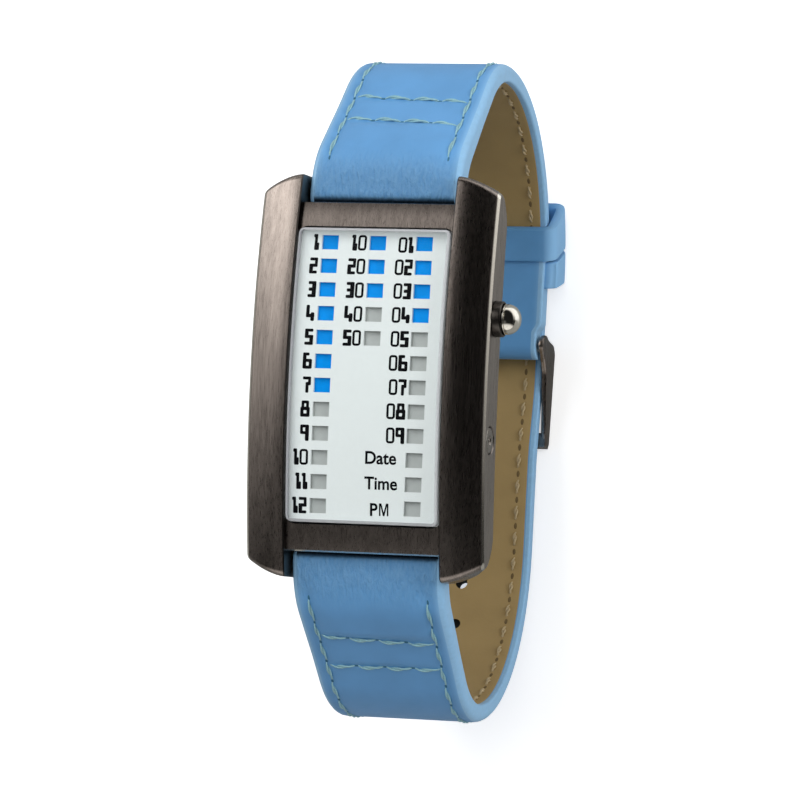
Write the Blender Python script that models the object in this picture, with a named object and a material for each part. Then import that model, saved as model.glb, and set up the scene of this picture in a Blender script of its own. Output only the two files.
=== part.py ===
"""Wristwatch with a grid of lit windows instead of hands, closed on its leather strap.

The case frame has X towards 3 o'clock, Y towards 12 o'clock and Z out of the dial.
Its zero is the middle of the case, at the level of the bezel bars.
The whole watch hangs on one empty, which sets it down on the buckle and the keeper.
"""
import math

import bmesh
import bpy
import numpy as np
from mathutils import Matrix, Vector

MM = 0.001

# Clearances
SEAT_GAP = 0.2 * MM
SIDE_GAP = 0.3 * MM
RUNNING_GAP = 0.1 * MM
CUT_OVERRUN = 1.5 * MM
JOIN_OVERLAP = 0.9 * MM

# Fineness of round work
ROUND_SIDES = 18
SMALL_SIDES = 12
RAIL_STATIONS = 13
PLATE_STATIONS = 9
ARC_STEP = math.radians(9.0)
FLATNESS = 0.00001 * MM

# Case
CASE_LENGTH = 47.6 * MM
CASE_BOW = 2.733 * MM
LUG_GAP = 18.9 * MM
RAIL_WIDTH = 5.05 * MM
RAIL_CREST = 0.75 * MM
RAIL_DROP = 1.45 * MM
RAIL_END_SETBACK = 1.9 * MM
RAIL_END_ROUND = 0.7 * MM
FLANK_HEIGHT = 4.7 * MM
RAIL_FOOT = 1.6 * MM
RAIL_FOOT_INSET = 1.5 * MM
RAIL_BELLY_RADIUS = 190.0 * MM
RAIL_HEEL = 2.6 * MM
RAIL_HEEL_LENGTH = 4.2 * MM
BODY_SETBACK = 1.2 * MM
BEZEL_LEVEL = -0.1 * MM
BEZEL_STRIP = 0.4 * MM
BEZEL_FALL = 0.3 * MM
VISOR_DEPTH = 0.7 * MM
END_RECESS = 0.8 * MM
TUB_INSET = 0.85 * MM
TUB_BOTTOM = 8.1 * MM
TUB_HEIGHT = 3.4 * MM
BODY_FOOT = 0.6 * MM
TUB_CORNER = 1.5 * MM
SHELF_LEVEL = 3.1 * MM
SHELF_THICKNESS = 1.0 * MM
SHELF_WIDTH = 1.0 * MM
SHELF_END_WIDTH = 0.45 * MM
CAVITY_SIDE_WALL = 2.25 * MM
CAVITY_END_WALL = 2.7 * MM
CAVITY_CORNER = 2.5 * MM

# Outline of a rail's top: share of the rail's width from its inner edge, share of the drop
RAIL_TOP_SHARES = (
    (0.0, 0.22), (0.06, 0.0), (0.3, 0.04), (0.52, 0.24), (0.74, 0.58), (0.94, 0.92), (1.0, 1.18)
)
END_ROUND_SHARES = ((0.0, 1.0), (0.35, 0.3), (1.0, 0.0))
RAIL_HEEL_SHARE = 0.93
RAIL_END_POWER = 1.6

# Crystal, dial and light windows
BEZEL_BAR_LENGTH = 3.2 * MM
CRYSTAL_CORNER = 0.9 * MM
CRYSTAL_CREST = 0.8 * MM
CRYSTAL_THICKNESS = 1.3 * MM
CRYSTAL_BEVEL = 0.3 * MM
DIAL_THICKNESS = 0.4 * MM
DIFFUSER_THICKNESS = 0.3 * MM
MASK_BOTTOM = 3.9 * MM
GASKET_WIDTH = 0.75 * MM
GASKET_END_WIDTH = 0.3 * MM
WINDOW_WIDTH = 1.85 * MM
WINDOW_HEIGHT = 1.62 * MM
COLUMN_MARGIN = 3.5 * MM
COLUMN_OFFSET = 0.1 * MM
ROW_MARGIN = 1.845 * MM
ROW_OFFSET = 0.1 * MM
COLUMN_ROWS = (12, 5, 12)
ROW_COUNT = max(COLUMN_ROWS)

# Module inside the case
CHIP_WIDTH = 1.0 * MM
CHIP_HEIGHT = 0.4 * MM
FILM_THICKNESS = 0.2 * MM
BOARD_THICKNESS = 0.8 * MM
MODULE_CORNER = 2.2 * MM
MODULE_BOTTOM = 7.6 * MM
BATTERY_SIDE_WALL = 1.2 * MM
BATTERY_END_WALL = 1.9 * MM
BATTERY_THICKNESS = 1.5 * MM
BATTERY_RIM = 0.5 * MM
CONTROLLER_SIZE = 5.0 * MM
CONTROLLER_THICKNESS = 0.8 * MM
CONTROLLER_X = 3.6 * MM
CONTROLLER_LOWER = 0.3 * MM
QUARTZ_DIAMETER = 1.4 * MM
QUARTZ_LENGTH = 5.6 * MM
QUARTZ_X = -3.7 * MM
QUARTZ_HIGHER = 0.7 * MM
PARTS_POCKET_WIDTH = 14.0 * MM
PARTS_POCKET_LENGTH = 6.6 * MM
PARTS_POCKET_WALL = 1.6 * MM
CLIP_WIDTH = 3.4 * MM
CLIP_THICKNESS = 0.25 * MM
CLIP_INSET = 0.4 * MM

# Case back
BACK_THICKNESS = 0.9 * MM
BACK_CORNER = 1.4 * MM
BACK_INSET = 0.4 * MM
SEAL_WIDTH = 0.55 * MM
SEAL_HEIGHT = 0.6 * MM
SEAL_OFFSET = 0.75 * MM
SCREW_EDGE = 1.4 * MM
SCREW_DIAMETER = 1.0 * MM
SCREW_HEAD_DIAMETER = 1.7 * MM
SCREW_HEAD_HEIGHT = 0.45 * MM
SCREW_LENGTH = 2.3 * MM
SCREW_SLOT = 0.3 * MM

# Pusher at 2 o'clock
BUTTON_Z = -3.3 * MM
PUSHER_Y = 7.2 * MM
PUSHER_TRAVEL = 0.7 * MM
PUSHER_COLLAR_DIAMETER = 4.1 * MM
PUSHER_COLLAR_LENGTH = 1.0 * MM
PUSHER_COLLAR_WALL = 0.25 * MM
PUSHER_NECK_DIAMETER = 2.6 * MM
PUSHER_NECK_LENGTH = 1.2 * MM
PUSHER_FLOOR = 0.5 * MM
PUSHER_CAP_OUT = 1.2 * MM
PUSHER_DOME = 0.9 * MM
STEM_DIAMETER = 1.2 * MM
STEM_OUT = 0.6 * MM
STEM_CLIP_DIAMETER = 2.1 * MM
STEM_CLIP_THICKNESS = 0.2 * MM
STEM_CLIP_GROOVE = 0.2 * MM
SIDE_POCKET_DEPTH = 1.5 * MM
SIDE_POCKET_WIDTH = 4.6 * MM
SIDE_POCKET_TOP = 1.9 * MM
O_RING_THICKNESS = 0.4 * MM
SPRING_WIRE = 0.24 * MM
PUSHER_SPRING_TURNS = 2.5
CONTACT_THICKNESS = 0.15 * MM
CONTACT_WIDTH = 2.4 * MM
CONTACT_REACH = 2.2 * MM

# Corrector at 4 o'clock
CORRECTOR_Y = -7.0 * MM
CORRECTOR_TRAVEL = 0.4 * MM
CORRECTOR_RING_DIAMETER = 3.5 * MM
CORRECTOR_RING_DEPTH = 0.35 * MM
CORRECTOR_DIAMETER = 2.4 * MM
CORRECTOR_HEAD = 0.6 * MM
CORRECTOR_SINK = 0.25 * MM
CORRECTOR_BORE_DEPTH = 1.75 * MM
CORRECTOR_SPRING_TURNS = 1.5

# Spring bars
BAR_SETBACK = 2.1 * MM
BAR_Z = -5.4 * MM
BAR_DIAMETER = 1.5 * MM
BAR_BORE_DIAMETER = 1.0 * MM
BAR_END_SHORTFALL = 0.5 * MM
TIP_DIAMETER = 0.7 * MM
TIP_REACH = 0.9 * MM
TIP_INSIDE = 3.0 * MM
TIP_TRAVEL = 1.0 * MM
TIP_HOLE_DIAMETER = 0.95 * MM
BAR_SPRING_TURNS = 7
BAR_SPRING_WIRE = 0.16 * MM
COIL_STEPS = 9
WIRE_SIDES = 5

# Strap
STRAP_LUG_WIDTH = LUG_GAP - 2 * SIDE_GAP
STRAP_BACK_WIDTH = 16.4 * MM
BUCKLE_STRAP_WIDTH = 17.6 * MM
LUG_END_THICKNESS = 3.2 * MM
STRAP_THICKNESS = 2.2 * MM
TAIL_THICKNESS = 1.6 * MM
LINING_THICKNESS = 0.7 * MM
PADDING_LENGTH = 14.0 * MM
LOOP_LENGTH = 7.0 * MM
EDGE_CHAMFER = 0.35 * MM
LEAVE_ANGLE = math.radians(8.0)
RUN_ANGLE = math.radians(47.0)
LEAVE_LENGTH = 1.0 * MM
KNEE_RADIUS = 8.0 * MM
RUN_LENGTH = 11.8 * MM
SHOULDER_RADIUS = 13.0 * MM
BACK_RADIUS = 22.5 * MM
FOLD_EXTRA = 1.0 * MM
FOLD_LENGTH = 10.9 * MM
FOLD_NARROWING = 0.9 * MM
TAIL_ANGLE = math.radians(31.0)
TAIL_TIP_LENGTH = 3.0 * MM
TAIL_TIP_SHARE = 0.6
DIVE_LEAD = 1.14 * MM
DIVE_DEPTH = 0.872 * MM
DIVE_STEEPENING = math.radians(4.5)
BEND_RADIUS = 14.0 * MM
STEP_LENGTH = 0.25 * MM
HOLE_DIAMETER = 1.5 * MM
HOLE_PITCH = 6.1 * MM
HOLES_BEFORE = 5
USED_HOLE_LENGTH = 3.6 * MM
USED_HOLE_WIDTH = 2.1 * MM

# Keeper
FIXED_KEEPER_LENGTH = 4.2 * MM
SLIDING_KEEPER_LENGTH = 5.0 * MM
KEEPER_WALL = 1.15 * MM
KEEPER_SIDE_GAP = 0.35 * MM
KEEPER_LEAN = math.radians(5.2)
KEEPER_BAND = 0.7 * MM
KEEPER_BAND_DEPTH = 0.35 * MM
FIXED_KEEPER_START = math.radians(-0.9)
SLIDING_KEEPER_START = math.radians(10.1)
FLAP_ANGLE = math.radians(4.6)
KEEPER_STATIONS = 3
KEEPER_CORNER = 0.45 * MM
SLOT_EASE = math.radians(0.3)
END_ROUND_STEPS = 4
BAR_TIP_SHARE = 0.35

# Buckle
BUCKLE_BAR_DIAMETER = 1.2 * MM
BUCKLE_LENGTH = 12.6 * MM
BUCKLE_SIDE = 0.9 * MM
BUCKLE_TAPER = 0.3 * MM
BUCKLE_BOSS_RADIUS = 1.6 * MM
BUCKLE_FRONT = 2.0 * MM
BUCKLE_FRONT_HEIGHT = 1.9 * MM
TONGUE_WIDTH = 1.5 * MM
TONGUE_THICKNESS = 0.75 * MM
TONGUE_EYE_WALL = 0.5 * MM
TONGUE_CRANK_LENGTH = 2.3 * MM
TONGUE_OVERHANG = 0.3 * MM
TONGUE_ROOM = 0.35 * MM
TONGUE_SLOT_REACH = 3.2 * MM
NOTCH_DEPTH = 1.3 * MM

# Levels and places that follow from the sizes above
CASE_WIDTH = LUG_GAP + 2 * RAIL_WIDTH
CASE_ARC_RADIUS = (CASE_LENGTH * CASE_LENGTH / 4 + CASE_BOW * CASE_BOW) / (2 * CASE_BOW)
FLANK_TOP = RAIL_CREST - RAIL_DROP * RAIL_TOP_SHARES[-1][1]
FLANK_BOTTOM = FLANK_TOP - FLANK_HEIGHT
FLANK_X = CASE_WIDTH / 2
RAIL_BOTTOM = FLANK_BOTTOM - RAIL_FOOT
BAR_Y = CASE_LENGTH / 2 - BAR_SETBACK
BODY_END = BAR_Y - BODY_SETBACK
BODY_WALL = BODY_END - END_RECESS
TUB_WIDTH = CASE_WIDTH - 2 * TUB_INSET
CAVITY_WIDTH = TUB_WIDTH - 2 * CAVITY_SIDE_WALL
CAVITY_LENGTH = 2 * (BODY_WALL - CAVITY_END_WALL)
POCKET_WIDTH = LUG_GAP
CRYSTAL_WIDTH = POCKET_WIDTH - 2 * SEAT_GAP
CRYSTAL_LENGTH = 2 * (BODY_END - BEZEL_BAR_LENGTH)
POCKET_LENGTH = CRYSTAL_LENGTH + 2 * SEAT_GAP
COLUMN_PITCH = (CRYSTAL_WIDTH - 2 * COLUMN_MARGIN) / (len(COLUMN_ROWS) - 1)
ROW_PITCH = (CRYSTAL_LENGTH - 2 * ROW_MARGIN) / (ROW_COUNT - 1)
SCREW_X = TUB_WIDTH / 2 - SCREW_EDGE
SCREW_Y = BODY_WALL - SCREW_EDGE
CRYSTAL_BOTTOM = CRYSTAL_CREST - CRYSTAL_THICKNESS
DIAL_TOP = CRYSTAL_BOTTOM - SEAT_GAP
DIAL_BOTTOM = DIAL_TOP - DIAL_THICKNESS
DIFFUSER_TOP = DIAL_BOTTOM - SEAT_GAP
DIFFUSER_BOTTOM = DIFFUSER_TOP - DIFFUSER_THICKNESS
MASK_TOP = DIFFUSER_BOTTOM - SEAT_GAP
GASKET_BOTTOM = SEAT_GAP - SHELF_LEVEL
SHELF_OPENING_WIDTH = POCKET_WIDTH - 2 * SHELF_WIDTH
SHELF_OPENING_LENGTH = POCKET_LENGTH - 2 * SHELF_END_WIDTH
INSERT_WIDTH = SHELF_OPENING_WIDTH - 2 * SEAT_GAP
INSERT_LENGTH = SHELF_OPENING_LENGTH - 2 * SEAT_GAP
CAVITY_TOP = -(SHELF_LEVEL + SHELF_THICKNESS)
CHIP_TOP = -(MASK_BOTTOM + SEAT_GAP)
FILM_BOTTOM = CHIP_TOP - CHIP_HEIGHT - FILM_THICKNESS
BOARD_TOP = FILM_BOTTOM - RUNNING_GAP
BOARD_BOTTOM = BOARD_TOP - BOARD_THICKNESS
MODULE_WIDTH = CAVITY_WIDTH - 2 * SEAT_GAP
MODULE_LENGTH = CAVITY_LENGTH - 2 * SEAT_GAP
MODULE_TOP = BOARD_BOTTOM - SEAT_GAP
BATTERY_TOP = MODULE_TOP - RUNNING_GAP
PARTS_POCKET_Y = MODULE_LENGTH / 2 - PARTS_POCKET_LENGTH / 2 - PARTS_POCKET_WALL
BATTERY_ROOM = MODULE_LENGTH - PARTS_POCKET_LENGTH - 2 * PARTS_POCKET_WALL - BATTERY_END_WALL
BATTERY_DIAMETER = min(MODULE_WIDTH - 2 * BATTERY_SIDE_WALL, BATTERY_ROOM)
BATTERY_Y = BATTERY_END_WALL + BATTERY_DIAMETER / 2 - MODULE_LENGTH / 2
CLIP_LENGTH = MODULE_WIDTH - 2 * CLIP_INSET
CLIP_TOP = min(BATTERY_TOP - BATTERY_THICKNESS, -MODULE_BOTTOM) - SEAT_GAP / 2
CONTACT_BOTTOM = BOARD_TOP + RUNNING_GAP
BACK_TOP = -(TUB_BOTTOM + SEAT_GAP)
BACK_BOTTOM = BACK_TOP - BACK_THICKNESS
POCKET_WALL_X = CAVITY_WIDTH / 2 + RUNNING_GAP
COLLAR_OUT_X = FLANK_X + PUSHER_COLLAR_LENGTH
NECK_END_X = POCKET_WALL_X + SEAT_GAP
COLLAR_END_X = NECK_END_X + PUSHER_NECK_LENGTH
CAP_TIP_X = COLLAR_OUT_X + PUSHER_CAP_OUT + PUSHER_DOME


def level(bow, y):
    """Height lost at y along the case, whose top is an arc seen from the side."""
    return bow - np.sqrt(bow * bow - np.square(y))


def unit(angle):
    """Unit vector in the plane of Y and Z at that angle from +Y."""
    return np.array((math.cos(angle), math.sin(angle)))


class StrapLine:
    """A smooth line in the plane of Y and Z, made of straight legs and arcs.

    legs is a list of (length, turn): a turn of zero is a straight leg.
    side is 1 for the 12 o'clock strap and -1 for its mirror image at 6 o'clock.
    """

    def __init__(self, start, heading, legs, side):
        self.side = side
        self.legs = []
        point, angle, run = np.array(start), heading, 0.0
        for length, turn in legs:
            self.legs.append((run, length, turn, point, angle))
            point, angle = self.step(point, angle, length, turn, length)
            run += length
        self.length = run

    @staticmethod
    def step(point, angle, length, turn, distance):
        """Point and heading after that distance along one leg."""
        if turn == 0:
            return point + distance * unit(angle), angle
        radius = length / turn
        quarter = math.pi / 2
        centre = point + radius * unit(angle + quarter)
        now = angle + turn * distance / length
        return centre + radius * unit(now - quarter), now

    def at(self, distance):
        """Point, outward normal and heading at a distance along the line."""
        leg = [each for each in self.legs if each[0] <= distance or each[0] == 0.0][-1]
        run, length, turn, point, angle = leg
        point, angle = self.step(point, angle, length, turn, distance - run)
        normal = unit(angle + math.pi / 2)
        flip = np.array((self.side, 1.0))
        return point * flip, normal * flip, unit(angle) * flip

    def stations(self, first, last, extra=()):
        """Distances where the line needs a cross-section."""
        marks = {first, last}
        marks.update(each for each in extra if first < each < last)
        for run, length, turn, _, _ in self.legs:
            count = max(1, math.ceil(abs(turn) / ARC_STEP))
            marks.update(run + length * k / count for k in range(count + 1))
        return sorted(each for each in marks if first <= each <= last)


# Line through the middle of the strap's thickness, shared by both halves as far as the back
QUARTER = math.pi / 2
FRONT_LEGS = [
    (LEAVE_LENGTH, 0),
    (KNEE_RADIUS * (RUN_ANGLE - LEAVE_ANGLE), LEAVE_ANGLE - RUN_ANGLE),
    (RUN_LENGTH, 0),
    (SHOULDER_RADIUS * (QUARTER - RUN_ANGLE), RUN_ANGLE - QUARTER),
]
FRONT_RUN = sum(leg[0] for leg in FRONT_LEGS)
front = StrapLine((BAR_Y, BAR_Z), -LEAVE_ANGLE, FRONT_LEGS, 1)
crest, _, _ = front.at(FRONT_RUN)
BACK_Y = crest[0] - BACK_RADIUS
BACK_Z = crest[1]
BACK_LEVEL = BACK_Z - BACK_RADIUS
LOOP_CREST_Y = crest[0] + STRAP_THICKNESS / 2

# Layers round the centre of the back arc, from the wrist outwards
STRAP_OUTER_RADIUS = BACK_RADIUS + STRAP_THICKNESS / 2
STRAP_INNER_RADIUS = BACK_RADIUS - STRAP_THICKNESS / 2
TAIL_INNER_RADIUS = STRAP_OUTER_RADIUS + SIDE_GAP
TAIL_RADIUS = TAIL_INNER_RADIUS + TAIL_THICKNESS / 2
TAIL_OUTER_RADIUS = TAIL_INNER_RADIUS + TAIL_THICKNESS
KEEPER_INNER_RADIUS = STRAP_INNER_RADIUS - SIDE_GAP
KEEPER_OUTER_RADIUS = TAIL_OUTER_RADIUS + SIDE_GAP
FIXED_BAND_RADIUS = STRAP_INNER_RADIUS + KEEPER_BAND_DEPTH - KEEPER_BAND
FLOOR_LEVEL = BACK_Z - KEEPER_OUTER_RADIUS - KEEPER_WALL
BACK_HALF = STRAP_BACK_WIDTH / 2
KEEPER_HALF = BUCKLE_STRAP_WIDTH / 2 + KEEPER_SIDE_GAP
FIXED_KEEPER_SPAN = FIXED_KEEPER_LENGTH / (KEEPER_OUTER_RADIUS + KEEPER_WALL)
SLIDING_KEEPER_SPAN = SLIDING_KEEPER_LENGTH / (KEEPER_OUTER_RADIUS + KEEPER_WALL)

# The buckle's bar lies in the middle of the folded end
FOLD_TOP = BACK_LEVEL + STRAP_THICKNESS / 2 + FOLD_EXTRA
FOLD_BOTTOM = BACK_LEVEL - STRAP_THICKNESS / 2
FOLD_RADIUS = (FOLD_TOP - FOLD_BOTTOM) / 2
PIVOT_Z = (FOLD_TOP + FOLD_BOTTOM) / 2
PIVOT_Y = BACK_Y - FOLD_LENGTH + FOLD_RADIUS
FRONT_END_Y = PIVOT_Y - BUCKLE_LENGTH
FRONT_BAR_TOP = FLOOR_LEVEL + BUCKLE_FRONT_HEIGHT

# 6 o'clock half: it leaves the back arc on the tangent through the place where it starts to dive
# under the folded end, just before the buckle's front bar, and then follows the other half
TAIL_LEVEL = BACK_Z - TAIL_RADIUS
DIVE_START_Y = DIVE_LEAD - FRONT_END_Y
DIVE_START_Z = BACK_LEVEL - DIVE_DEPTH
DIVE_DISTANCE = math.hypot(DIVE_START_Y - BACK_Y, DIVE_START_Z - BACK_Z)
DIVE_BEARING = math.atan2(DIVE_START_Z - BACK_Z, DIVE_START_Y - BACK_Y)
BACK_TURN = -DIVE_BEARING - math.acos(BACK_RADIUS / DIVE_DISTANCE)
DIP_ANGLE = QUARTER - BACK_TURN
DIP_LENGTH = math.sqrt(DIVE_DISTANCE * DIVE_DISTANCE - BACK_RADIUS * BACK_RADIUS)
DIVE_ANGLE = DIP_ANGLE + DIVE_STEEPENING
DIVE_BEND = BEND_RADIUS * (2 * math.cos(DIVE_ANGLE) - math.cos(DIP_ANGLE) - 1)
DIVE_LENGTH = (DIVE_START_Z - TAIL_LEVEL + DIVE_BEND) / math.sin(DIVE_ANGLE)
DIVE_REACH = (
    BEND_RADIUS * (2 * math.sin(DIVE_ANGLE) - math.sin(DIP_ANGLE)) + DIVE_LENGTH * math.cos(DIVE_ANGLE)
)
FLAT_LENGTH = DIVE_START_Y - DIVE_REACH + BACK_Y
line_12 = StrapLine(
    (BAR_Y, BAR_Z),
    -LEAVE_ANGLE,
    FRONT_LEGS + [(BACK_RADIUS * QUARTER, -QUARTER), (FOLD_LENGTH - FOLD_RADIUS, 0)],
    1,
)
line_6 = StrapLine(
    (BAR_Y, BAR_Z),
    -LEAVE_ANGLE,
    FRONT_LEGS
    + [
        (BACK_RADIUS * BACK_TURN, -BACK_TURN),
        (DIP_LENGTH, 0),
        (BEND_RADIUS * (DIVE_ANGLE - DIP_ANGLE), DIVE_ANGLE - DIP_ANGLE),
        (DIVE_LENGTH, 0),
        (BEND_RADIUS * DIVE_ANGLE, -DIVE_ANGLE),
        (FLAT_LENGTH, 0),
        (TAIL_RADIUS * TAIL_ANGLE, -TAIL_ANGLE),
    ],
    -1,
)

# The watch stands on the keeper and the buckle, with the middle of its outline over the origin
REST_X = -(CAP_TIP_X - FLANK_X) / 2
REST_POINT = Vector((REST_X, 0.0, -FLOOR_LEVEL))


def keeper_lean(radius):
    """A keeper leans towards the buckle: the angle by which its band next to the wrist lies back."""
    outside = KEEPER_OUTER_RADIUS + KEEPER_WALL
    return KEEPER_LEAN * (outside - radius) / (outside - KEEPER_INNER_RADIUS + KEEPER_WALL)


def clear_scene():
    for old in list(bpy.data.objects):
        bpy.data.objects.remove(old, do_unlink=True)


def finish(name, colour, metallic, roughness, alpha=1.0):
    """A Principled material for one piece."""
    made = bpy.data.materials.new(name)
    made.use_nodes = True
    shader = made.node_tree.nodes["Principled BSDF"]
    shader.inputs["Base Color"].default_value = (*colour, 1.0)
    shader.inputs["Metallic"].default_value = metallic
    shader.inputs["Roughness"].default_value = roughness
    shader.inputs["Alpha"].default_value = alpha
    return made


def mesh_from(verts, faces):
    """A closed mesh with its faces turned outwards and its warped faces split into triangles."""
    shape = bmesh.new()
    points = [shape.verts.new(each) for each in verts]
    for face in faces:
        shape.faces.new([points[k] for k in face])
    bmesh.ops.recalc_face_normals(shape, faces=shape.faces)
    shape.normal_update()
    warped = []
    for face in shape.faces:
        middle = face.calc_center_median()
        if max(abs((corner.co - middle).dot(face.normal)) for corner in face.verts) > FLATNESS:
            warped.append(face)
    bmesh.ops.triangulate(shape, faces=warped)
    made = bpy.data.meshes.new("shape")
    shape.to_mesh(made)
    shape.free()
    return made


def loft(rings, closed=False):
    """Joins rings of equal count into a skin: capped at both ends, or joined round when closed."""
    count = len(rings[0])
    verts = [tuple(point) for ring in rings for point in ring]
    spans = len(rings) if closed else len(rings) - 1
    faces = []
    for k in range(spans):
        low, high = k * count, ((k + 1) % len(rings)) * count
        for j in range(count):
            after = (j + 1) % count
            faces.append((low + j, low + after, high + after, high + j))
    if not closed:
        faces.append(tuple(range(count)))
        faces.append(tuple(range(len(verts) - count, len(verts))))
    return mesh_from(verts, faces)


def box(low, high):
    """A block between two corners."""
    ring = [(low[0], low[1]), (high[0], low[1]), (high[0], high[1]), (low[0], high[1])]
    return loft([[(x, y, z) for x, y in ring] for z in (low[2], high[2])])


def rounded_ring(width, length, corner, z, steps=4):
    """A rectangle with rounded corners, centred on the case, at height z."""
    ring = []
    for turn, (sx, sy) in enumerate(((1, 1), (-1, 1), (-1, -1), (1, -1))):
        cx, cy = sx * (width / 2 - corner), sy * (length / 2 - corner)
        for k in range(steps + 1):
            angle = QUARTER * (turn + k / steps)
            ring.append((cx + corner * math.cos(angle), cy + corner * math.sin(angle), z))
    return ring


def slab(width, length, corner, low, high):
    """A flat plate with rounded corners."""
    return loft([rounded_ring(width, length, corner, z) for z in (low, high)])


def bowed_plate(width, length, corner, top, bottom, bow_bottom=True, bevel=0.0):
    """A plate bent along the case's arc: rows of a section whose ends follow the rounded corners.

    top and bottom are heights at the middle. Without bow_bottom the underside is flat.
    """
    reach = length / 2 - corner
    quarter = [reach + corner * math.sin(QUARTER * k / 3) for k in range(1, 4)]
    straight = list(np.linspace(-reach, reach, PLATE_STATIONS))
    rows = [-y for y in reversed(quarter)] + straight + quarter
    rings = []
    for y in rows:
        beyond = max(abs(y) - reach, 0.0)
        half = width / 2 - corner + math.sqrt(max(corner * corner - beyond * beyond, 0.0))
        sink = float(level(CASE_ARC_RADIUS, y))
        high, low = top - sink, bottom - (sink if bow_bottom else 0.0)
        edge = high - bevel
        ring = [(-half, y, low), (half, y, low), (half, y, edge)]
        if not bevel:
            ring.append((-half, y, high))
        else:
            ring += [(half - bevel, y, high), (bevel - half, y, high), (-half, y, edge)]
            shrink = max(min(abs(y) - (length / 2 - bevel), bevel), 0.0)
            ring = [(px, py, pz if pz < edge + bevel / 2 else pz - shrink) for px, py, pz in ring]
        rings.append(ring)
    return loft(rings)


def turned(profile, centre, axis="X", sides=ROUND_SIDES, closed=False):
    """A round piece about an axis through centre: profile is (place along it, radius)."""
    rings = []
    for along, radius in profile:
        ring = []
        for k in range(sides):
            angle = 2 * math.pi * k / sides
            a, b = radius * math.cos(angle), radius * math.sin(angle)
            shift = {"X": (along, a, b), "Z": (a, b, along)}[axis]
            ring.append(tuple(centre[n] + shift[n] for n in range(3)))
        rings.append(ring)
    return loft(rings, closed)


def tube(start, end, outer, inner, centre, sides=SMALL_SIDES, axis="X"):
    """A plain sleeve."""
    profile = [(start, outer), (end, outer), (end, inner), (start, inner)]
    return turned(profile, centre, axis, sides, closed=True)


def coil(start, end, radius, wire, turns, centre):
    """A coil spring along X: a round wire carried along a helix, from start to end."""
    first, last = start + wire / 2, end - wire / 2
    count = math.ceil(turns * COIL_STEPS)
    rings = []
    for k in range(count + 1):
        share = k / count
        angle = 2 * math.pi * turns * share
        out = np.array((0.0, math.cos(angle), math.sin(angle)))
        middle = np.array(centre) + radius * out + np.array((first + (last - first) * share, 0.0, 0.0))
        ring = []
        for j in range(WIRE_SIDES):
            around = 2 * math.pi * j / WIRE_SIDES
            spoke = math.cos(around) * out + np.array((math.sin(around), 0.0, 0.0))
            ring.append(middle + wire / 2 * spoke)
        rings.append(ring)
    return loft(rings)


def prism(outline, half_width):
    """An outline in Y and Z, extruded across X: half_width is a length, or gives one at each Y."""
    half = half_width if callable(half_width) else lambda y: half_width
    return loft([[(side * half(y), y, z) for y, z in outline] for side in (-1, 1)])


def band(line, marks, outer, inner, half, chamfer):
    """A strap layer: its section at each mark runs from offset inner(s) to outer(s) off the line.

    The layer's outer corners are chamfered, and its width follows half(s).
    """
    rings = []
    for s in marks:
        point, normal, _ = line.at(s)
        top, low, w = outer(s), inner(s), half(s)
        cut = min(chamfer, (top - low) / 3)
        section = [(-w, low), (w, low), (w, top - cut), (w - cut, top), (cut - w, top), (-w, top - cut)]
        rings.append([(x, *(point + normal * off)) for x, off in section])
    return loft(rings)


def join(*meshes):
    """Several closed shapes in one mesh, still separate bodies."""
    shape = bmesh.new()
    for each in meshes:
        shape.from_mesh(each)
    made = bpy.data.meshes.new("shapes")
    shape.to_mesh(made)
    shape.free()
    return made


class Watch:
    """Puts pieces on the watch's empty, with each piece's origin at its pivot."""

    def __init__(self):
        self.root = bpy.data.objects.new("watch_origin", None)
        bpy.context.scene.collection.objects.link(self.root)
        self.root.location = REST_POINT

    def add(self, name, mesh, material=None, pivot=(0.0, 0.0, 0.0)):
        place = Vector(pivot)
        mesh.transform(Matrix.Translation(-place))
        mesh.name = name
        made = bpy.data.objects.new(name, mesh)
        bpy.context.scene.collection.objects.link(made)
        made.parent = self.root
        made.location = place
        if material:
            mesh.materials.append(material)
            mesh.shade_smooth()
            mesh.set_sharp_from_angle(angle=math.radians(32.0))
        return made

    def tool(self, name, mesh):
        """A hidden shape that a Boolean uses."""
        made = self.add(name, mesh)
        made.hide_render = True
        made.display_type = "WIRE"
        return made

    def boolean(self, piece, operation, name, mesh):
        step = piece.modifiers.new(name, "BOOLEAN")
        step.operation = operation
        step.solver = "EXACT"
        step.object = self.tool(name, mesh)


clear_scene()
watch = Watch()

GUNMETAL = finish("gunmetal", (0.17, 0.15, 0.14), 1.0, 0.36)
STEEL = finish("steel", (0.55, 0.54, 0.52), 1.0, 0.3)
BLUE_LEATHER = finish("blue_leather", (0.12, 0.34, 0.62), 0.0, 0.5)
TAN_LEATHER = finish("tan_leather", (0.30, 0.22, 0.12), 0.0, 0.75)
GLASS = finish("glass", (0.95, 0.97, 0.97), 0.0, 0.03, 0.3)
WHITE = finish("white_dial", (0.80, 0.82, 0.81), 0.0, 0.45)
MILKY = finish("milky_film", (0.60, 0.64, 0.62), 0.0, 0.55)
BLACK_PLASTIC = finish("black_plastic", (0.03, 0.03, 0.03), 0.0, 0.5)
GREEN_BOARD = finish("green_board", (0.02, 0.16, 0.08), 0.0, 0.5)
RUBBER = finish("rubber", (0.02, 0.02, 0.02), 0.0, 0.8)
GOLD = finish("contact_gold", (0.80, 0.58, 0.22), 1.0, 0.3)
LED_WHITE = finish("led_package", (0.75, 0.75, 0.68), 0.0, 0.4)


# Case

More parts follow.
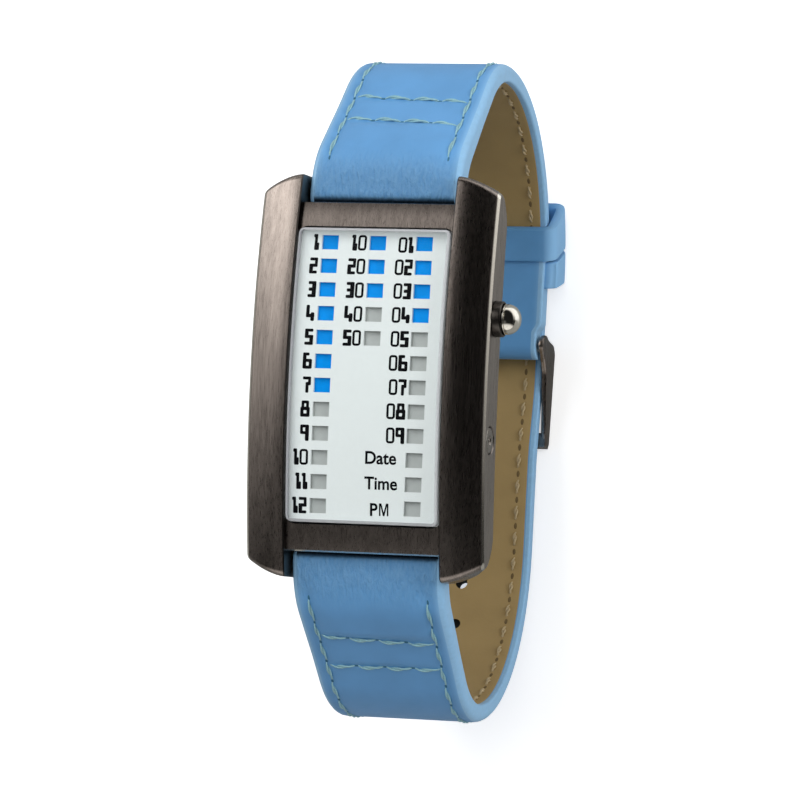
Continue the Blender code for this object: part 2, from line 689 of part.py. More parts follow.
def rail(side):
    """One side rail: a section of crowned top, flank and foot, carried along the case's arc."""
    width = RAIL_WIDTH
    inner = LUG_GAP / 2
    top = [(inner + width * across, RAIL_CREST - RAIL_DROP * fall) for across, fall in RAIL_TOP_SHARES]
    outer = inner + width
    under = [(outer, FLANK_BOTTOM), (outer - RAIL_FOOT_INSET, RAIL_BOTTOM), (inner, RAIL_BOTTOM)]
    shares = sorted([*np.linspace(-1.0, 1.0, RAIL_STATIONS), -RAIL_HEEL_SHARE, RAIL_HEEL_SHARE])
    ends = [(1.0, inset, sink) for inset, sink in END_ROUND_SHARES[:2]]
    rows = [(-t, inset, sink) for t, inset, sink in ends] + [(t, 1.0, 0.0) for t in shares] + ends[::-1]
    rings = []
    for share, inset, sink in rows:
        ring = []
        for x, z in top + under:
            across = (x - inner) / width
            end = CASE_LENGTH / 2 - RAIL_END_SETBACK * across ** RAIL_END_POWER
            y = share * (end - RAIL_END_ROUND * inset)
            if z > FLANK_BOTTOM:
                z -= level(CASE_ARC_RADIUS, y) + RAIL_END_ROUND * sink
            else:
                near_end = max(1.0 - (end - abs(y)) / RAIL_HEEL_LENGTH, 0.0)
                z += RAIL_HEEL * near_end * near_end - level(RAIL_BELLY_RADIUS, y)
            ring.append((side * x, y, z))
        rings.append(ring)
    return loft(rings)


def body_block():
    """The part between the rails: bowed top, bezel bars that slope to the ends, visor and end wall."""
    bar_start = POCKET_LENGTH / 2
    rows = list(np.linspace(-bar_start, bar_start, PLATE_STATIONS))
    outline = [(y, BEZEL_LEVEL - float(level(CASE_ARC_RADIUS, y))) for y in rows]
    strip_start = BODY_END - BEZEL_STRIP
    strip_level = BEZEL_LEVEL - float(level(CASE_ARC_RADIUS, strip_start))
    lip = strip_level - BEZEL_FALL
    end = [
        (strip_start, strip_level),
        (BODY_END, lip),
        (BODY_END, lip - VISOR_DEPTH),
        (BODY_WALL, lip - 2 * VISOR_DEPTH),
        (BODY_WALL, BODY_FOOT - TUB_BOTTOM),
    ]
    left = [(-y, z) for y, z in reversed(end)]
    return prism(left + outline + end, LUG_GAP / 2 + JOIN_OVERLAP)


def case_cutters():
    """Every pocket and bore of the case, each as its own closed shape."""
    reach = RAIL_CREST + CUT_OVERRUN
    floor = -(TUB_BOTTOM + CUT_OVERRUN)
    pocket = slab(POCKET_WIDTH, POCKET_LENGTH, CRYSTAL_CORNER + SEAT_GAP, -SHELF_LEVEL, reach)
    low, high = CAVITY_TOP - SHELF_THICKNESS, SHELF_THICKNESS - SHELF_LEVEL
    opening = slab(SHELF_OPENING_WIDTH, SHELF_OPENING_LENGTH, CRYSTAL_CORNER, low, high)
    cavity = slab(CAVITY_WIDTH, CAVITY_LENGTH, CAVITY_CORNER, floor, CAVITY_TOP)
    yield "crystal_pocket_cutter", pocket
    yield "shelf_opening_cutter", opening
    yield "cavity_cutter", cavity
    pockets = []
    for y in (PUSHER_Y, CORRECTOR_Y):
        low = (POCKET_WALL_X - SIDE_POCKET_DEPTH, y - SIDE_POCKET_WIDTH / 2, floor)
        high = (POCKET_WALL_X, y + SIDE_POCKET_WIDTH / 2, -SIDE_POCKET_TOP)
        pockets.append(box(low, high))
    yield "side_pocket_cutter", join(*pockets)
    collar = PUSHER_COLLAR_DIAMETER / 2 + RUNNING_GAP
    neck = PUSHER_NECK_DIAMETER / 2 + RUNNING_GAP
    seat = COLLAR_END_X - RUNNING_GAP
    inside = POCKET_WALL_X - SIDE_POCKET_DEPTH / 2
    outside = FLANK_X + CUT_OVERRUN
    pusher = [(inside, neck), (seat, neck), (seat, collar), (outside, collar)]
    yield "pusher_bore_cutter", turned(pusher, (0.0, PUSHER_Y, BUTTON_Z))
    ring = FLANK_X - CORRECTOR_RING_DEPTH
    head = CORRECTOR_DIAMETER / 2 + RUNNING_GAP
    stem = STEM_DIAMETER / 2 + RUNNING_GAP
    floor_x = FLANK_X - CORRECTOR_BORE_DEPTH
    wide = CORRECTOR_RING_DIAMETER / 2
    corrector = [(inside, stem), (floor_x, stem), (floor_x, head), (ring, head)]
    corrector += [(ring, wide), (outside, wide)]
    yield "corrector_bore_cutter", turned(corrector, (0.0, CORRECTOR_Y, BUTTON_Z))
    tips = []
    for side in (-1, 1):
        for end in (-1, 1):
            start = LUG_GAP / 2 - CUT_OVERRUN
            stop = LUG_GAP / 2 + TIP_REACH + SEAT_GAP
            profile = [(side * start, TIP_HOLE_DIAMETER / 2), (side * stop, TIP_HOLE_DIAMETER / 2)]
            tips.append(turned(profile, (0.0, end * BAR_Y, BAR_Z), sides=SMALL_SIDES))
    yield "tip_hole_cutter", join(*tips)
    yield "seal_groove_cutter", seal_ring(SEAT_GAP / 2, -(TUB_BOTTOM + CUT_OVERRUN), SEAT_GAP / 2)
    holes = []
    for x in (-SCREW_X, SCREW_X):
        for y in (-SCREW_Y, SCREW_Y):
            top = BACK_BOTTOM + SCREW_LENGTH + SEAT_GAP
            radius = SCREW_DIAMETER / 2 + RUNNING_GAP
            holes.append(turned([(floor, radius), (top, radius)], (x, y, 0.0), "Z", SMALL_SIDES))
    yield "screw_hole_cutter", join(*holes)


def seal_ring(grow, bottom, rise):
    """The case-back seal: a rectangular loop round the cavity, grown on every side for its groove."""
    inner_width = CAVITY_WIDTH + 2 * (SEAL_OFFSET - SEAL_WIDTH / 2 - grow)
    inner_length = CAVITY_LENGTH + 2 * (SEAL_OFFSET - SEAL_WIDTH / 2 - grow)
    wall = SEAL_WIDTH + 2 * grow
    top = SEAL_HEIGHT + rise - TUB_BOTTOM
    corner = CAVITY_CORNER + SEAL_OFFSET - SEAL_WIDTH / 2 - grow
    inner = [rounded_ring(inner_width, inner_length, corner, z) for z in (bottom, top)]
    outer_size = (inner_width + 2 * wall, inner_length + 2 * wall, corner + wall)
    outer = [rounded_ring(*outer_size, z) for z in (top, bottom)]
    return loft([inner[0], inner[1], outer[0], outer[1]], closed=True)


case = watch.add("case", body_block(), GUNMETAL)
watch.boolean(case, "UNION", "rail_left_tool", rail(-1))
watch.boolean(case, "UNION", "rail_right_tool", rail(1))
tub = slab(TUB_WIDTH, 2 * BODY_WALL - 2 * RUNNING_GAP, TUB_CORNER, -TUB_BOTTOM, TUB_HEIGHT - TUB_BOTTOM)
watch.boolean(case, "UNION", "tub_tool", tub)
for cutter_name, cutter_mesh in case_cutters():
    watch.boolean(case, "DIFFERENCE", cutter_name, cutter_mesh)


# Crystal, its gasket and the dial

watch.add(
    "crystal",
    bowed_plate(
        CRYSTAL_WIDTH, CRYSTAL_LENGTH, CRYSTAL_CORNER, CRYSTAL_CREST, CRYSTAL_BOTTOM, bevel=CRYSTAL_BEVEL
    ),
    GLASS,
)
gasket = watch.add(
    "crystal_gasket",
    bowed_plate(CRYSTAL_WIDTH, CRYSTAL_LENGTH, CRYSTAL_CORNER, DIFFUSER_TOP, GASKET_BOTTOM, bow_bottom=False),
    RUBBER,
)
gasket_hole = slab(
    CRYSTAL_WIDTH - 2 * GASKET_WIDTH,
    CRYSTAL_LENGTH - 2 * GASKET_END_WIDTH,
    CRYSTAL_CORNER,
    -SHELF_LEVEL - CUT_OVERRUN,
    CUT_OVERRUN,
)
watch.boolean(gasket, "DIFFERENCE", "gasket_hole_cutter", gasket_hole)


def window_places():
    """Centres of the light windows, column by column and from the top row down."""
    first_row = ROW_OFFSET + ROW_PITCH * (ROW_COUNT - 1) / 2
    for column, rows in enumerate(COLUMN_ROWS):
        x = COLUMN_OFFSET + (column - 1) * COLUMN_PITCH
        for row in range(rows):
            yield x, first_row - row * ROW_PITCH


def window_blocks(grow, low, high):
    """One block for each window, a little larger all round by grow."""
    half_x, half_y = WINDOW_WIDTH / 2 + grow, WINDOW_HEIGHT / 2 + grow
    blocks = [box((x - half_x, y - half_y, low), (x + half_x, y + half_y, high)) for x, y in window_places()]
    return join(*blocks)


dial = watch.add(
    "dial",
    bowed_plate(CRYSTAL_WIDTH, CRYSTAL_LENGTH, CRYSTAL_CORNER, DIAL_TOP, DIAL_BOTTOM),
    WHITE,
)
dial_windows = window_blocks(0.0, -SHELF_LEVEL - CUT_OVERRUN, CUT_OVERRUN)
watch.boolean(dial, "DIFFERENCE", "dial_window_cutter", dial_windows)
watch.add(
    "diffuser",
    bowed_plate(INSERT_WIDTH, INSERT_LENGTH, CRYSTAL_CORNER, DIFFUSER_TOP, DIFFUSER_BOTTOM),
    MILKY,
)
mask = watch.add(
    "light_mask",
    bowed_plate(INSERT_WIDTH, INSERT_LENGTH, CRYSTAL_CORNER, MASK_TOP, -MASK_BOTTOM, bow_bottom=False),
    BLACK_PLASTIC,
)
mask_cells = window_blocks(RUNNING_GAP, -MASK_BOTTOM - CUT_OVERRUN, CUT_OVERRUN)
watch.boolean(mask, "DIFFERENCE", "mask_cell_cutter", mask_cells)


# Module: light strip, board, frame, battery and clip

chip_half = CHIP_WIDTH / 2
chips = []
for window_x, window_y in window_places():
    low_corner = (window_x - chip_half, window_y - chip_half, FILM_BOTTOM + FILM_THICKNESS / 2)
    high_corner = (window_x + chip_half, window_y + chip_half, CHIP_TOP)
    chips.append(box(low_corner, high_corner))
lights = watch.add(
    "led_strip",
    slab(INSERT_WIDTH, INSERT_LENGTH, CRYSTAL_CORNER, FILM_BOTTOM, FILM_BOTTOM + FILM_THICKNESS),
    LED_WHITE,
)
watch.boolean(lights, "UNION", "led_chip_tool", join(*chips))
watch.add("led_board", slab(MODULE_WIDTH, MODULE_LENGTH, MODULE_CORNER, BOARD_BOTTOM, BOARD_TOP), GREEN_BOARD)

chip_reach = CONTROLLER_SIZE / 2
chip_top = BOARD_BOTTOM - SEAT_GAP
chip_y = PARTS_POCKET_Y - CONTROLLER_LOWER
watch.add(
    "controller_chip",
    box(
        (CONTROLLER_X - chip_reach, chip_y - chip_reach, chip_top - CONTROLLER_THICKNESS),
        (CONTROLLER_X + chip_reach, chip_y + chip_reach, chip_top),
    ),
    BLACK_PLASTIC,
)
quartz_z = BOARD_BOTTOM - SEAT_GAP - QUARTZ_DIAMETER / 2
quartz_reach = QUARTZ_LENGTH / 2
watch.add(
    "quartz_can",
    turned(
        [(-quartz_reach, QUARTZ_DIAMETER / 2), (quartz_reach, QUARTZ_DIAMETER / 2)],
        (QUARTZ_X, PARTS_POCKET_Y + QUARTZ_HIGHER, quartz_z),
        sides=SMALL_SIDES,
    ),
    STEEL,
)

frame = watch.add(
    "module_frame",
    slab(MODULE_WIDTH, MODULE_LENGTH, MODULE_CORNER, -MODULE_BOTTOM, MODULE_TOP),
    BLACK_PLASTIC,
)
frame_low, frame_high = -MODULE_BOTTOM - CUT_OVERRUN, MODULE_TOP + CUT_OVERRUN
battery_hole = turned(
    [(frame_low, BATTERY_DIAMETER / 2 + SEAT_GAP), (frame_high, BATTERY_DIAMETER / 2 + SEAT_GAP)],
    (0.0, BATTERY_Y, 0.0),
    "Z",
    2 * ROUND_SIDES,
)
watch.boolean(frame, "DIFFERENCE", "battery_hole_cutter", battery_hole)
parts_hole = box(
    (-PARTS_POCKET_WIDTH / 2, PARTS_POCKET_Y - PARTS_POCKET_LENGTH / 2, frame_low),
    (PARTS_POCKET_WIDTH / 2, PARTS_POCKET_Y + PARTS_POCKET_LENGTH / 2, frame_high),
)
watch.boolean(frame, "DIFFERENCE", "parts_hole_cutter", parts_hole)

cell_radius = BATTERY_DIAMETER / 2
cell_bottom = BATTERY_TOP - BATTERY_THICKNESS
rim_radius = cell_radius - BATTERY_RIM
rim_level = BATTERY_TOP - BATTERY_RIM / 2
watch.add(
    "battery",
    turned(
        [
            (cell_bottom, cell_radius),
            (rim_level, cell_radius),
            (rim_level, rim_radius),
            (BATTERY_TOP, rim_radius),
        ],
        (0.0, BATTERY_Y, 0.0),
        "Z",
        2 * ROUND_SIDES,
    ),
    STEEL,
)
watch.add(
    "battery_clip",
    box(
        (-CLIP_LENGTH / 2, BATTERY_Y - CLIP_WIDTH / 2, CLIP_TOP - CLIP_THICKNESS),
        (CLIP_LENGTH / 2, BATTERY_Y + CLIP_WIDTH / 2, CLIP_TOP),
    ),
    GOLD,
)
contact_x = POCKET_WALL_X - SIDE_POCKET_DEPTH + SEAT_GAP / 2
for contact_name, contact_y in (("pusher_contact", PUSHER_Y), ("corrector_contact", CORRECTOR_Y)):
    low_corner = (contact_x, contact_y - CONTACT_WIDTH / 2, CONTACT_BOTTOM)
    far_x, far_z = contact_x + CONTACT_THICKNESS, CONTACT_BOTTOM + CONTACT_REACH
    high_corner = (far_x, contact_y + CONTACT_WIDTH / 2, far_z)
    watch.add(contact_name, box(low_corner, high_corner), GOLD)


# Case back with its seal and four screws

watch.add("case_back_seal", seal_ring(0.0, -TUB_BOTTOM, 0.0), RUBBER)
back = watch.add(
    "case_back",
    slab(TUB_WIDTH - 2 * BACK_INSET, 2 * (BODY_WALL - BACK_INSET), BACK_CORNER, BACK_BOTTOM, BACK_TOP),
    GUNMETAL,
)
back_holes = []
for number, (side_x, side_y) in enumerate(((1, 1), (-1, 1), (-1, -1), (1, -1)), 1):
    screw_x, screw_y = side_x * SCREW_X, side_y * SCREW_Y
    spot = (screw_x, screw_y, 0.0)
    bore = SCREW_DIAMETER / 2 + RUNNING_GAP
    sink_radius = SCREW_HEAD_DIAMETER / 2 + RUNNING_GAP
    sink_top = BACK_BOTTOM + SCREW_HEAD_HEIGHT + RUNNING_GAP
    below = BACK_BOTTOM - CUT_OVERRUN
    hole = [(below, sink_radius), (sink_top, sink_radius), (sink_top, bore), (BACK_TOP + CUT_OVERRUN, bore)]
    back_holes.append(turned(hole, spot, "Z", SMALL_SIDES))
    head_top = BACK_BOTTOM + SCREW_HEAD_HEIGHT
    head_radius = SCREW_HEAD_DIAMETER / 2
    shank = SCREW_DIAMETER / 2
    top = BACK_BOTTOM + SCREW_LENGTH
    profile = [(BACK_BOTTOM, head_radius), (head_top, head_radius), (head_top, shank), (top, shank)]
    screw = watch.add(f"case_back_screw_{number}", turned(profile, spot, "Z", SMALL_SIDES), STEEL)
    slot = box(
        (screw_x - SCREW_HEAD_DIAMETER, screw_y - SCREW_SLOT / 2, below),
        (screw_x + SCREW_HEAD_DIAMETER, screw_y + SCREW_SLOT / 2, BACK_BOTTOM + SCREW_HEAD_HEIGHT / 2),
    )
    watch.boolean(screw, "DIFFERENCE", f"screw_slot_{number}_cutter", slot)
watch.boolean(back, "DIFFERENCE", "back_hole_cutter", join(*back_holes))


# Pusher: collar with its neck, cap on a stem, spring, seal and clip

def ring_profile(start, end, outer, inner):
    return [(start, outer), (end, outer), (end, inner), (start, inner)]


pusher_axis = (0.0, PUSHER_Y, BUTTON_Z)
collar_radius = PUSHER_COLLAR_DIAMETER / 2
collar_bore = collar_radius - PUSHER_COLLAR_WALL
collar_floor = COLLAR_END_X + PUSHER_FLOOR
stem_radius = STEM_DIAMETER / 2
stem_bore = stem_radius + RUNNING_GAP
neck_radius = PUSHER_NECK_DIAMETER / 2
watch.add(
    "pusher_tube",
    turned(
        [
            (NECK_END_X, neck_radius),
            (COLLAR_END_X, neck_radius),
            (COLLAR_END_X, collar_radius),
            (COLLAR_OUT_X, collar_radius),
            (COLLAR_OUT_X, collar_bore),
            (collar_floor, collar_bore),
            (collar_floor, stem_bore),
            (NECK_END_X, stem_bore),
        ],
        pusher_axis,
        closed=True,
    ),
    GUNMETAL,
)
cap_radius = collar_bore - RUNNING_GAP
cap_shoulder = COLLAR_OUT_X + PUSHER_CAP_OUT
o_ring_start = collar_floor + RUNNING_GAP
spring_start = o_ring_start + O_RING_THICKNESS + RUNNING_GAP
cap_bottom = spring_start + PUSHER_SPRING_TURNS * SPRING_WIRE + SPRING_WIRE + PUSHER_TRAVEL
stem_clip_end = POCKET_WALL_X - RUNNING_GAP
stem_clip_start = stem_clip_end - STEM_CLIP_THICKNESS
stem_end = stem_clip_start - STEM_CLIP_THICKNESS
groove_radius = stem_radius - STEM_CLIP_GROOVE
DOME_STEPS = 5


def stem_profile():
    """The stem from its inner end outwards, with the groove that the clip sits in."""
    low = stem_clip_start - RUNNING_GAP / 2
    high = stem_clip_end + RUNNING_GAP / 2
    before = [(stem_end, stem_radius), (low, stem_radius)]
    return before + [(low, groove_radius), (high, groove_radius), (high, stem_radius)]


dome = []
for dome_step in range(DOME_STEPS + 1):
    dome_angle = QUARTER * dome_step / (DOME_STEPS + 1)
    dome.append((cap_shoulder + PUSHER_DOME * math.sin(dome_angle), cap_radius * math.cos(dome_angle)))
watch.add(
    "pusher_cap",
    turned(
        stem_profile() + [(cap_bottom, stem_radius), (cap_bottom, cap_radius)] + dome,
        pusher_axis,
    ),
    STEEL,
    pivot=(cap_bottom, PUSHER_Y, BUTTON_Z),
)
o_ring_outer = stem_bore + O_RING_THICKNESS
o_ring = tube(o_ring_start, o_ring_start + O_RING_THICKNESS, o_ring_outer, stem_bore, pusher_axis)
watch.add("pusher_o_ring", o_ring, RUBBER)
coil_radius = (cap_radius + stem_bore) / 2
coil_end = cap_bottom - RUNNING_GAP
watch.add(
    "pusher_spring",
    coil(spring_start, coil_end, coil_radius, SPRING_WIRE, PUSHER_SPRING_TURNS, pusher_axis),
    STEEL,
)
clip_bore = groove_radius + RUNNING_GAP / 2


def stem_clip(name, y):
    centre = (0.0, y, BUTTON_Z)
    shape = tube(stem_clip_start, stem_clip_end, STEM_CLIP_DIAMETER / 2, clip_bore, centre)
    watch.add(name, shape, STEEL, pivot=(stem_clip_start, y, BUTTON_Z))


stem_clip("pusher_clip", PUSHER_Y)


# Corrector: a small flush button in a ringed bore

corrector_axis = (0.0, CORRECTOR_Y, BUTTON_Z)
corrector_top = FLANK_X - CORRECTOR_SINK
corrector_low = corrector_top - CORRECTOR_HEAD
corrector_radius = CORRECTOR_DIAMETER / 2
watch.add(
    "corrector_button",
    turned(
        stem_profile()
        + [
            (corrector_low, stem_radius),
            (corrector_low, corrector_radius),
            (corrector_top, corrector_radius),
            (corrector_top, groove_radius),
            (corrector_top - CORRECTOR_HEAD / 2, groove_radius / 2),
        ],
        corrector_axis,
    ),
    STEEL,
    pivot=(corrector_low, CORRECTOR_Y, BUTTON_Z),
)
corrector_floor = FLANK_X - CORRECTOR_BORE_DEPTH
watch.add(
    "corrector_spring",
    coil(
        corrector_floor + RUNNING_GAP,
        corrector_low - RUNNING_GAP,
        (corrector_radius + stem_radius) / 2,
        SPRING_WIRE,
        CORRECTOR_SPRING_TURNS,
        corrector_axis,
    ),
    STEEL,
)
stem_clip("corrector_clip", CORRECTOR_Y)


# Spring bars: a sleeve with a sprung tip at each end

bar_half = LUG_GAP / 2 - BAR_END_SHORTFALL
for bar_end, bar_side in (("12", 1), ("6", -1)):
    bar_centre = (0.0, bar_side * BAR_Y, BAR_Z)
    sleeve = tube(-bar_half, bar_half, BAR_DIAMETER / 2, BAR_BORE_DIAMETER / 2, bar_centre)
    watch.add(f"spring_bar_{bar_end}", sleeve, STEEL, pivot=bar_centre)
    collar = BAR_BORE_DIAMETER / 2 - RUNNING_GAP / 2
    for tip_name, tip_side in (("left", -1), ("right", 1)):
        shoulder = bar_half - TIP_TRAVEL - SEAT_GAP
        start = shoulder - TIP_INSIDE
        end = LUG_GAP / 2 + TIP_REACH
        profile = [(start, collar), (shoulder, collar), (shoulder, TIP_DIAMETER / 2), (end, TIP_DIAMETER / 2)]
        shape = turned([(tip_side * x, r) for x, r in profile], bar_centre, sides=SMALL_SIDES)
        tip_pivot = (tip_side * shoulder, bar_side * BAR_Y, BAR_Z)
        watch.add(f"spring_bar_{bar_end}_tip_{tip_name}", shape, STEEL, pivot=tip_pivot)
    coil_radius = collar - BAR_SPRING_WIRE / 2
    coil_end = start - SEAT_GAP
    bar_spring = coil(-coil_end, coil_end, coil_radius, BAR_SPRING_WIRE, BAR_SPRING_TURNS, bar_centre)
    watch.add(f"bar_spring_{bar_end}", bar_spring, STEEL, pivot=bar_centre)


# Strap layers

def thickness(s):
    """The strap is thick at the spring bar and thins over its padding."""
    share = min(max(s / PADDING_LENGTH, 0.0), 1.0)
    return LUG_END_THICKNESS + (STRAP_THICKNESS - LUG_END_THICKNESS) * share


def taper(line_length, end_width):
    """Half width along the strap: it narrows evenly from the lugs to a width at a distance."""

    def half(s):
        share = min(max(s / line_length, 0.0), 1.0)
        return (STRAP_LUG_WIDTH + (end_width - STRAP_LUG_WIDTH) * share) / 2

    return half


def strap_layer(line, marks, outer, inner, half, start_round=None, end_round=None):
    """A strap layer whose ends may be rounded about a bar.

    The section has six points: the underside, the side walls and a chamfered top.
    """
    rings = []
    for s in marks:
        point, normal, _ = line.at(s)
        top, low, w = outer(s), inner(s), half(s)
        cut = min(EDGE_CHAMFER, (top - low) / 3)
        section = [(-w, low), (w, low), (w, top - cut), (w - cut, top), (cut - w, top), (-w, top - cut)]
        rings.append([(x, *(point + normal * off)) for x, off in section])
    for radius, place, s, way in ((start_round, 0, marks[0], -1), (end_round, len(rings), marks[-1], 1)):
        if radius:
            point, normal, heading = line.at(s)
            centre = point + normal * (outer(s) + inner(s)) / 2
            extra = []
            for k in range(1, END_ROUND_STEPS + 1):
                angle = QUARTER * k / (END_ROUND_STEPS + BAR_TIP_SHARE)
                ahead, rise = radius * math.sin(angle), radius * math.cos(angle)
                cut = min(EDGE_CHAMFER, rise / 3)
                w = half(s)
                section = [(-w, -rise), (w, -rise), (w, rise - cut)]
                section += [(w - cut, rise), (cut - w, rise), (-w, rise - cut)]
                tip = centre + way * heading * ahead
                extra.append([(x, *(tip + normal * off)) for x, off in section])
            rings = rings + extra if way == 1 else extra[::-1] + rings
    return loft(rings)


taper_12 = taper(line_12.length, BUCKLE_STRAP_WIDTH)
half_6 = taper(line_12.length, STRAP_BACK_WIDTH)
NARROW_START = line_12.length - BUCKLE_BOSS_RADIUS - SIDE_GAP
FOLD_START = line_12.length - (FOLD_LENGTH - FOLD_RADIUS) - BACK_RADIUS * FLAP_ANGLE


def half_12(s):
    """The folded end is narrower, so that it fits between the buckle's arms."""
    share = min(max(1 + (s - NARROW_START) / FOLD_NARROWING, 0.0), 1.0)
    return taper_12(s) + (BACK_HALF - taper_12(s)) * share


def outer_face(s):
    return thickness(s) / 2


def layer_gap_face(s):
    """Underside of the outer leather where the lining lies below it."""
    return LINING_THICKNESS + SEAT_GAP - thickness(s) / 2


def lining_top(s):
    return LINING_THICKNESS - thickness(s) / 2


def lining_bottom(s):
    return -thickness(s) / 2


def leather_12_bottom(s):
    """The outer leather turns round the spring bar at one end and round the buckle's bar at the other."""
    if s < LOOP_LENGTH - STEP_LENGTH / 2:
        return -thickness(s) / 2
    if s > FOLD_START - STEP_LENGTH / 2:
        return -(STRAP_THICKNESS / 2 + FOLD_EXTRA)
    return layer_gap_face(s)


loop_marks = [LOOP_LENGTH - STEP_LENGTH, LOOP_LENGTH, PADDING_LENGTH]
fold_marks = [FOLD_START - STEP_LENGTH, FOLD_START, NARROW_START - FOLD_NARROWING, NARROW_START]
marks_12 = line_12.stations(0.0, line_12.length, loop_marks + fold_marks)
pivot_12 = (0.0, BAR_Y, BAR_Z)
pivot_6 = (0.0, -BAR_Y, BAR_Z)
lug_radius = LUG_END_THICKNESS / 2
strap_12 = watch.add(
    "strap_12_leather",
    strap_layer(line_12, marks_12, outer_face, leather_12_bottom, half_12, lug_radius, FOLD_RADIUS),
    BLUE_LEATHER,
    pivot=pivot_12,
)
sleeve_bore = BAR_DIAMETER / 2 + RUNNING_GAP
wide = CASE_WIDTH / 2
lug_bore_12 = turned([(-wide, sleeve_bore), (wide, sleeve_bore)], pivot_12, sides=SMALL_SIDES)
watch.boolean(strap_12, "DIFFERENCE", "lug_bore_12_cutter", lug_bore_12)
buckle_pivot = (0.0, PIVOT_Y, PIVOT_Z)
buckle_bore_radius = BUCKLE_BAR_DIAMETER / 2 + RUNNING_GAP
bore_profile = [(-wide, buckle_bore_radius), (wide, buckle_bore_radius)]
buckle_bore = turned(bore_profile, buckle_pivot, sides=SMALL_SIDES)
watch.boolean(strap_12, "DIFFERENCE", "buckle_bore_cutter", buckle_bore)
tongue_half = TONGUE_WIDTH / 2
slot_reach = FOLD_RADIUS + TONGUE_ROOM
slot_span = FIXED_KEEPER_SPAN + 2 * SLOT_EASE
slot_rings = []
for slot_step in range(KEEPER_STATIONS + 1):
    slot_angle = FIXED_KEEPER_START - SLOT_EASE - QUARTER + slot_span * slot_step / KEEPER_STATIONS
    slot_edges = []
    for slot_radius in (FIXED_BAND_RADIUS - RUNNING_GAP, FIXED_BAND_RADIUS + KEEPER_BAND + RUNNING_GAP):
        slot_ray = unit(slot_angle - keeper_lean(slot_radius))
        slot_edges.append(np.array((BACK_Y, BACK_Z)) + slot_ray * slot_radius)
    low_edge, high_edge = slot_edges
    slot_rings.append([(-wide, *low_edge), (wide, *low_edge), (wide, *high_edge), (-wide, *high_edge)])
watch.boolean(strap_12, "DIFFERENCE", "keeper_slot_cutter", loft(slot_rings))
tongue_slot = box(
    (-tongue_half - TONGUE_ROOM, PIVOT_Y - slot_reach - CUT_OVERRUN, PIVOT_Z - slot_reach - CUT_OVERRUN),
    (tongue_half + TONGUE_ROOM, PIVOT_Y + TONGUE_SLOT_REACH, PIVOT_Z + slot_reach + CUT_OVERRUN),
)
watch.boolean(strap_12, "DIFFERENCE", "tongue_slot_cutter", tongue_slot)
lining_start = LOOP_LENGTH + SEAT_GAP
lining_marks_12 = line_12.stations(lining_start, FOLD_START - STEP_LENGTH - SEAT_GAP, (PADDING_LENGTH,))
watch.add(
    "strap_12_lining",
    band(line_12, lining_marks_12, lining_top, lining_bottom, half_12, 0.0),
    TAN_LEATHER,
    pivot=pivot_12,
)

TAIL_START = line_6.length - TAIL_RADIUS * TAIL_ANGLE - FLAT_LENGTH
THIN_START = TAIL_START - BEND_RADIUS * DIVE_ANGLE - DIVE_LENGTH
tip_start = line_6.length - TAIL_TIP_LENGTH


def thickness_6(s):
    """The 6 o'clock strap is pared down where it dives under the folded end."""
    share = min(max((s - THIN_START) / (TAIL_START - THIN_START), 0.0), 1.0)
    return thickness(s) + (TAIL_THICKNESS - STRAP_THICKNESS) * share


def outer_face_6(s):
    return thickness_6(s) / 2


def leather_6_bottom(s):
    if s < LOOP_LENGTH - STEP_LENGTH / 2:
        return -thickness(s) / 2
    return LINING_THICKNESS + SEAT_GAP - thickness_6(s) / 2


def half_tail(s):
    """The tail narrows to its rounded tip."""
    share = min(max((s - tip_start) / TAIL_TIP_LENGTH, 0.0), 1.0)
    return half_6(s) * (TAIL_TIP_SHARE + (1 - TAIL_TIP_SHARE) * math.sqrt(1 - share * share))


tip_marks = [tip_start + TAIL_TIP_LENGTH * k / 4 for k in range(4)]
marks_6 = line_6.stations(0.0, line_6.length, loop_marks + [THIN_START] + tip_marks)
strap_6 = watch.add(
    "strap_6_leather",
    strap_layer(line_6, marks_6, outer_face_6, leather_6_bottom, half_tail, lug_radius),
    BLUE_LEATHER,
    pivot=pivot_6,
)
lug_bore_6 = turned([(-wide, sleeve_bore), (wide, sleeve_bore)], pivot_6, sides=SMALL_SIDES)
watch.boolean(strap_6, "DIFFERENCE", "lug_bore_6_cutter", lug_bore_6)
lining_6 = watch.add(
    "strap_6_lining",
    band(
        line_6,
        line_6.stations(lining_start, line_6.length, [PADDING_LENGTH, THIN_START] + tip_marks),
        lambda s: LINING_THICKNESS - thickness_6(s) / 2,
        lambda s: -thickness_6(s) / 2,
        half_tail,
        0.0,
    ),
    TAN_LEATHER,
    pivot=pivot_6,
)


def tongue_crossing():
    """Distance along the 6 o'clock strap at which the tongue goes through it."""
    crossing_y = (PIVOT_Y + FRONT_END_Y) / 2
    places = np.linspace(line_6.length / 2, line_6.length, 400)
    return min(places, key=lambda s: abs(line_6.at(s)[0][0] - crossing_y))


def strap_hole(s, length, width):
    """A round-ended hole across the strap's thickness at a distance along it."""
    point, normal, heading = line_6.at(s)
    across = np.array((1.0, 0.0, 0.0))
    along = np.array((0.0, *heading))
    out = np.array((0.0, *normal))
    middle = np.array((0.0, *point))
    stretch = (length - width) / 2
    rings = []
    for reach in (-STRAP_THICKNESS, STRAP_THICKNESS):
        ring = []
        for k in range(SMALL_SIDES):
            angle = 2 * math.pi * (k + 0.5) / SMALL_SIDES
            shift = stretch if math.sin(angle) > 0 else -stretch
            spot = across * (width / 2 * math.cos(angle)) + along * (width / 2 * math.sin(angle) + shift)
            ring.append(middle + spot + out * reach)
        rings.append(ring)
    return loft(rings)


used_hole = tongue_crossing()
hole_places = [used_hole - k * HOLE_PITCH for k in range(1, HOLES_BEFORE + 1)] + [used_hole + HOLE_PITCH]


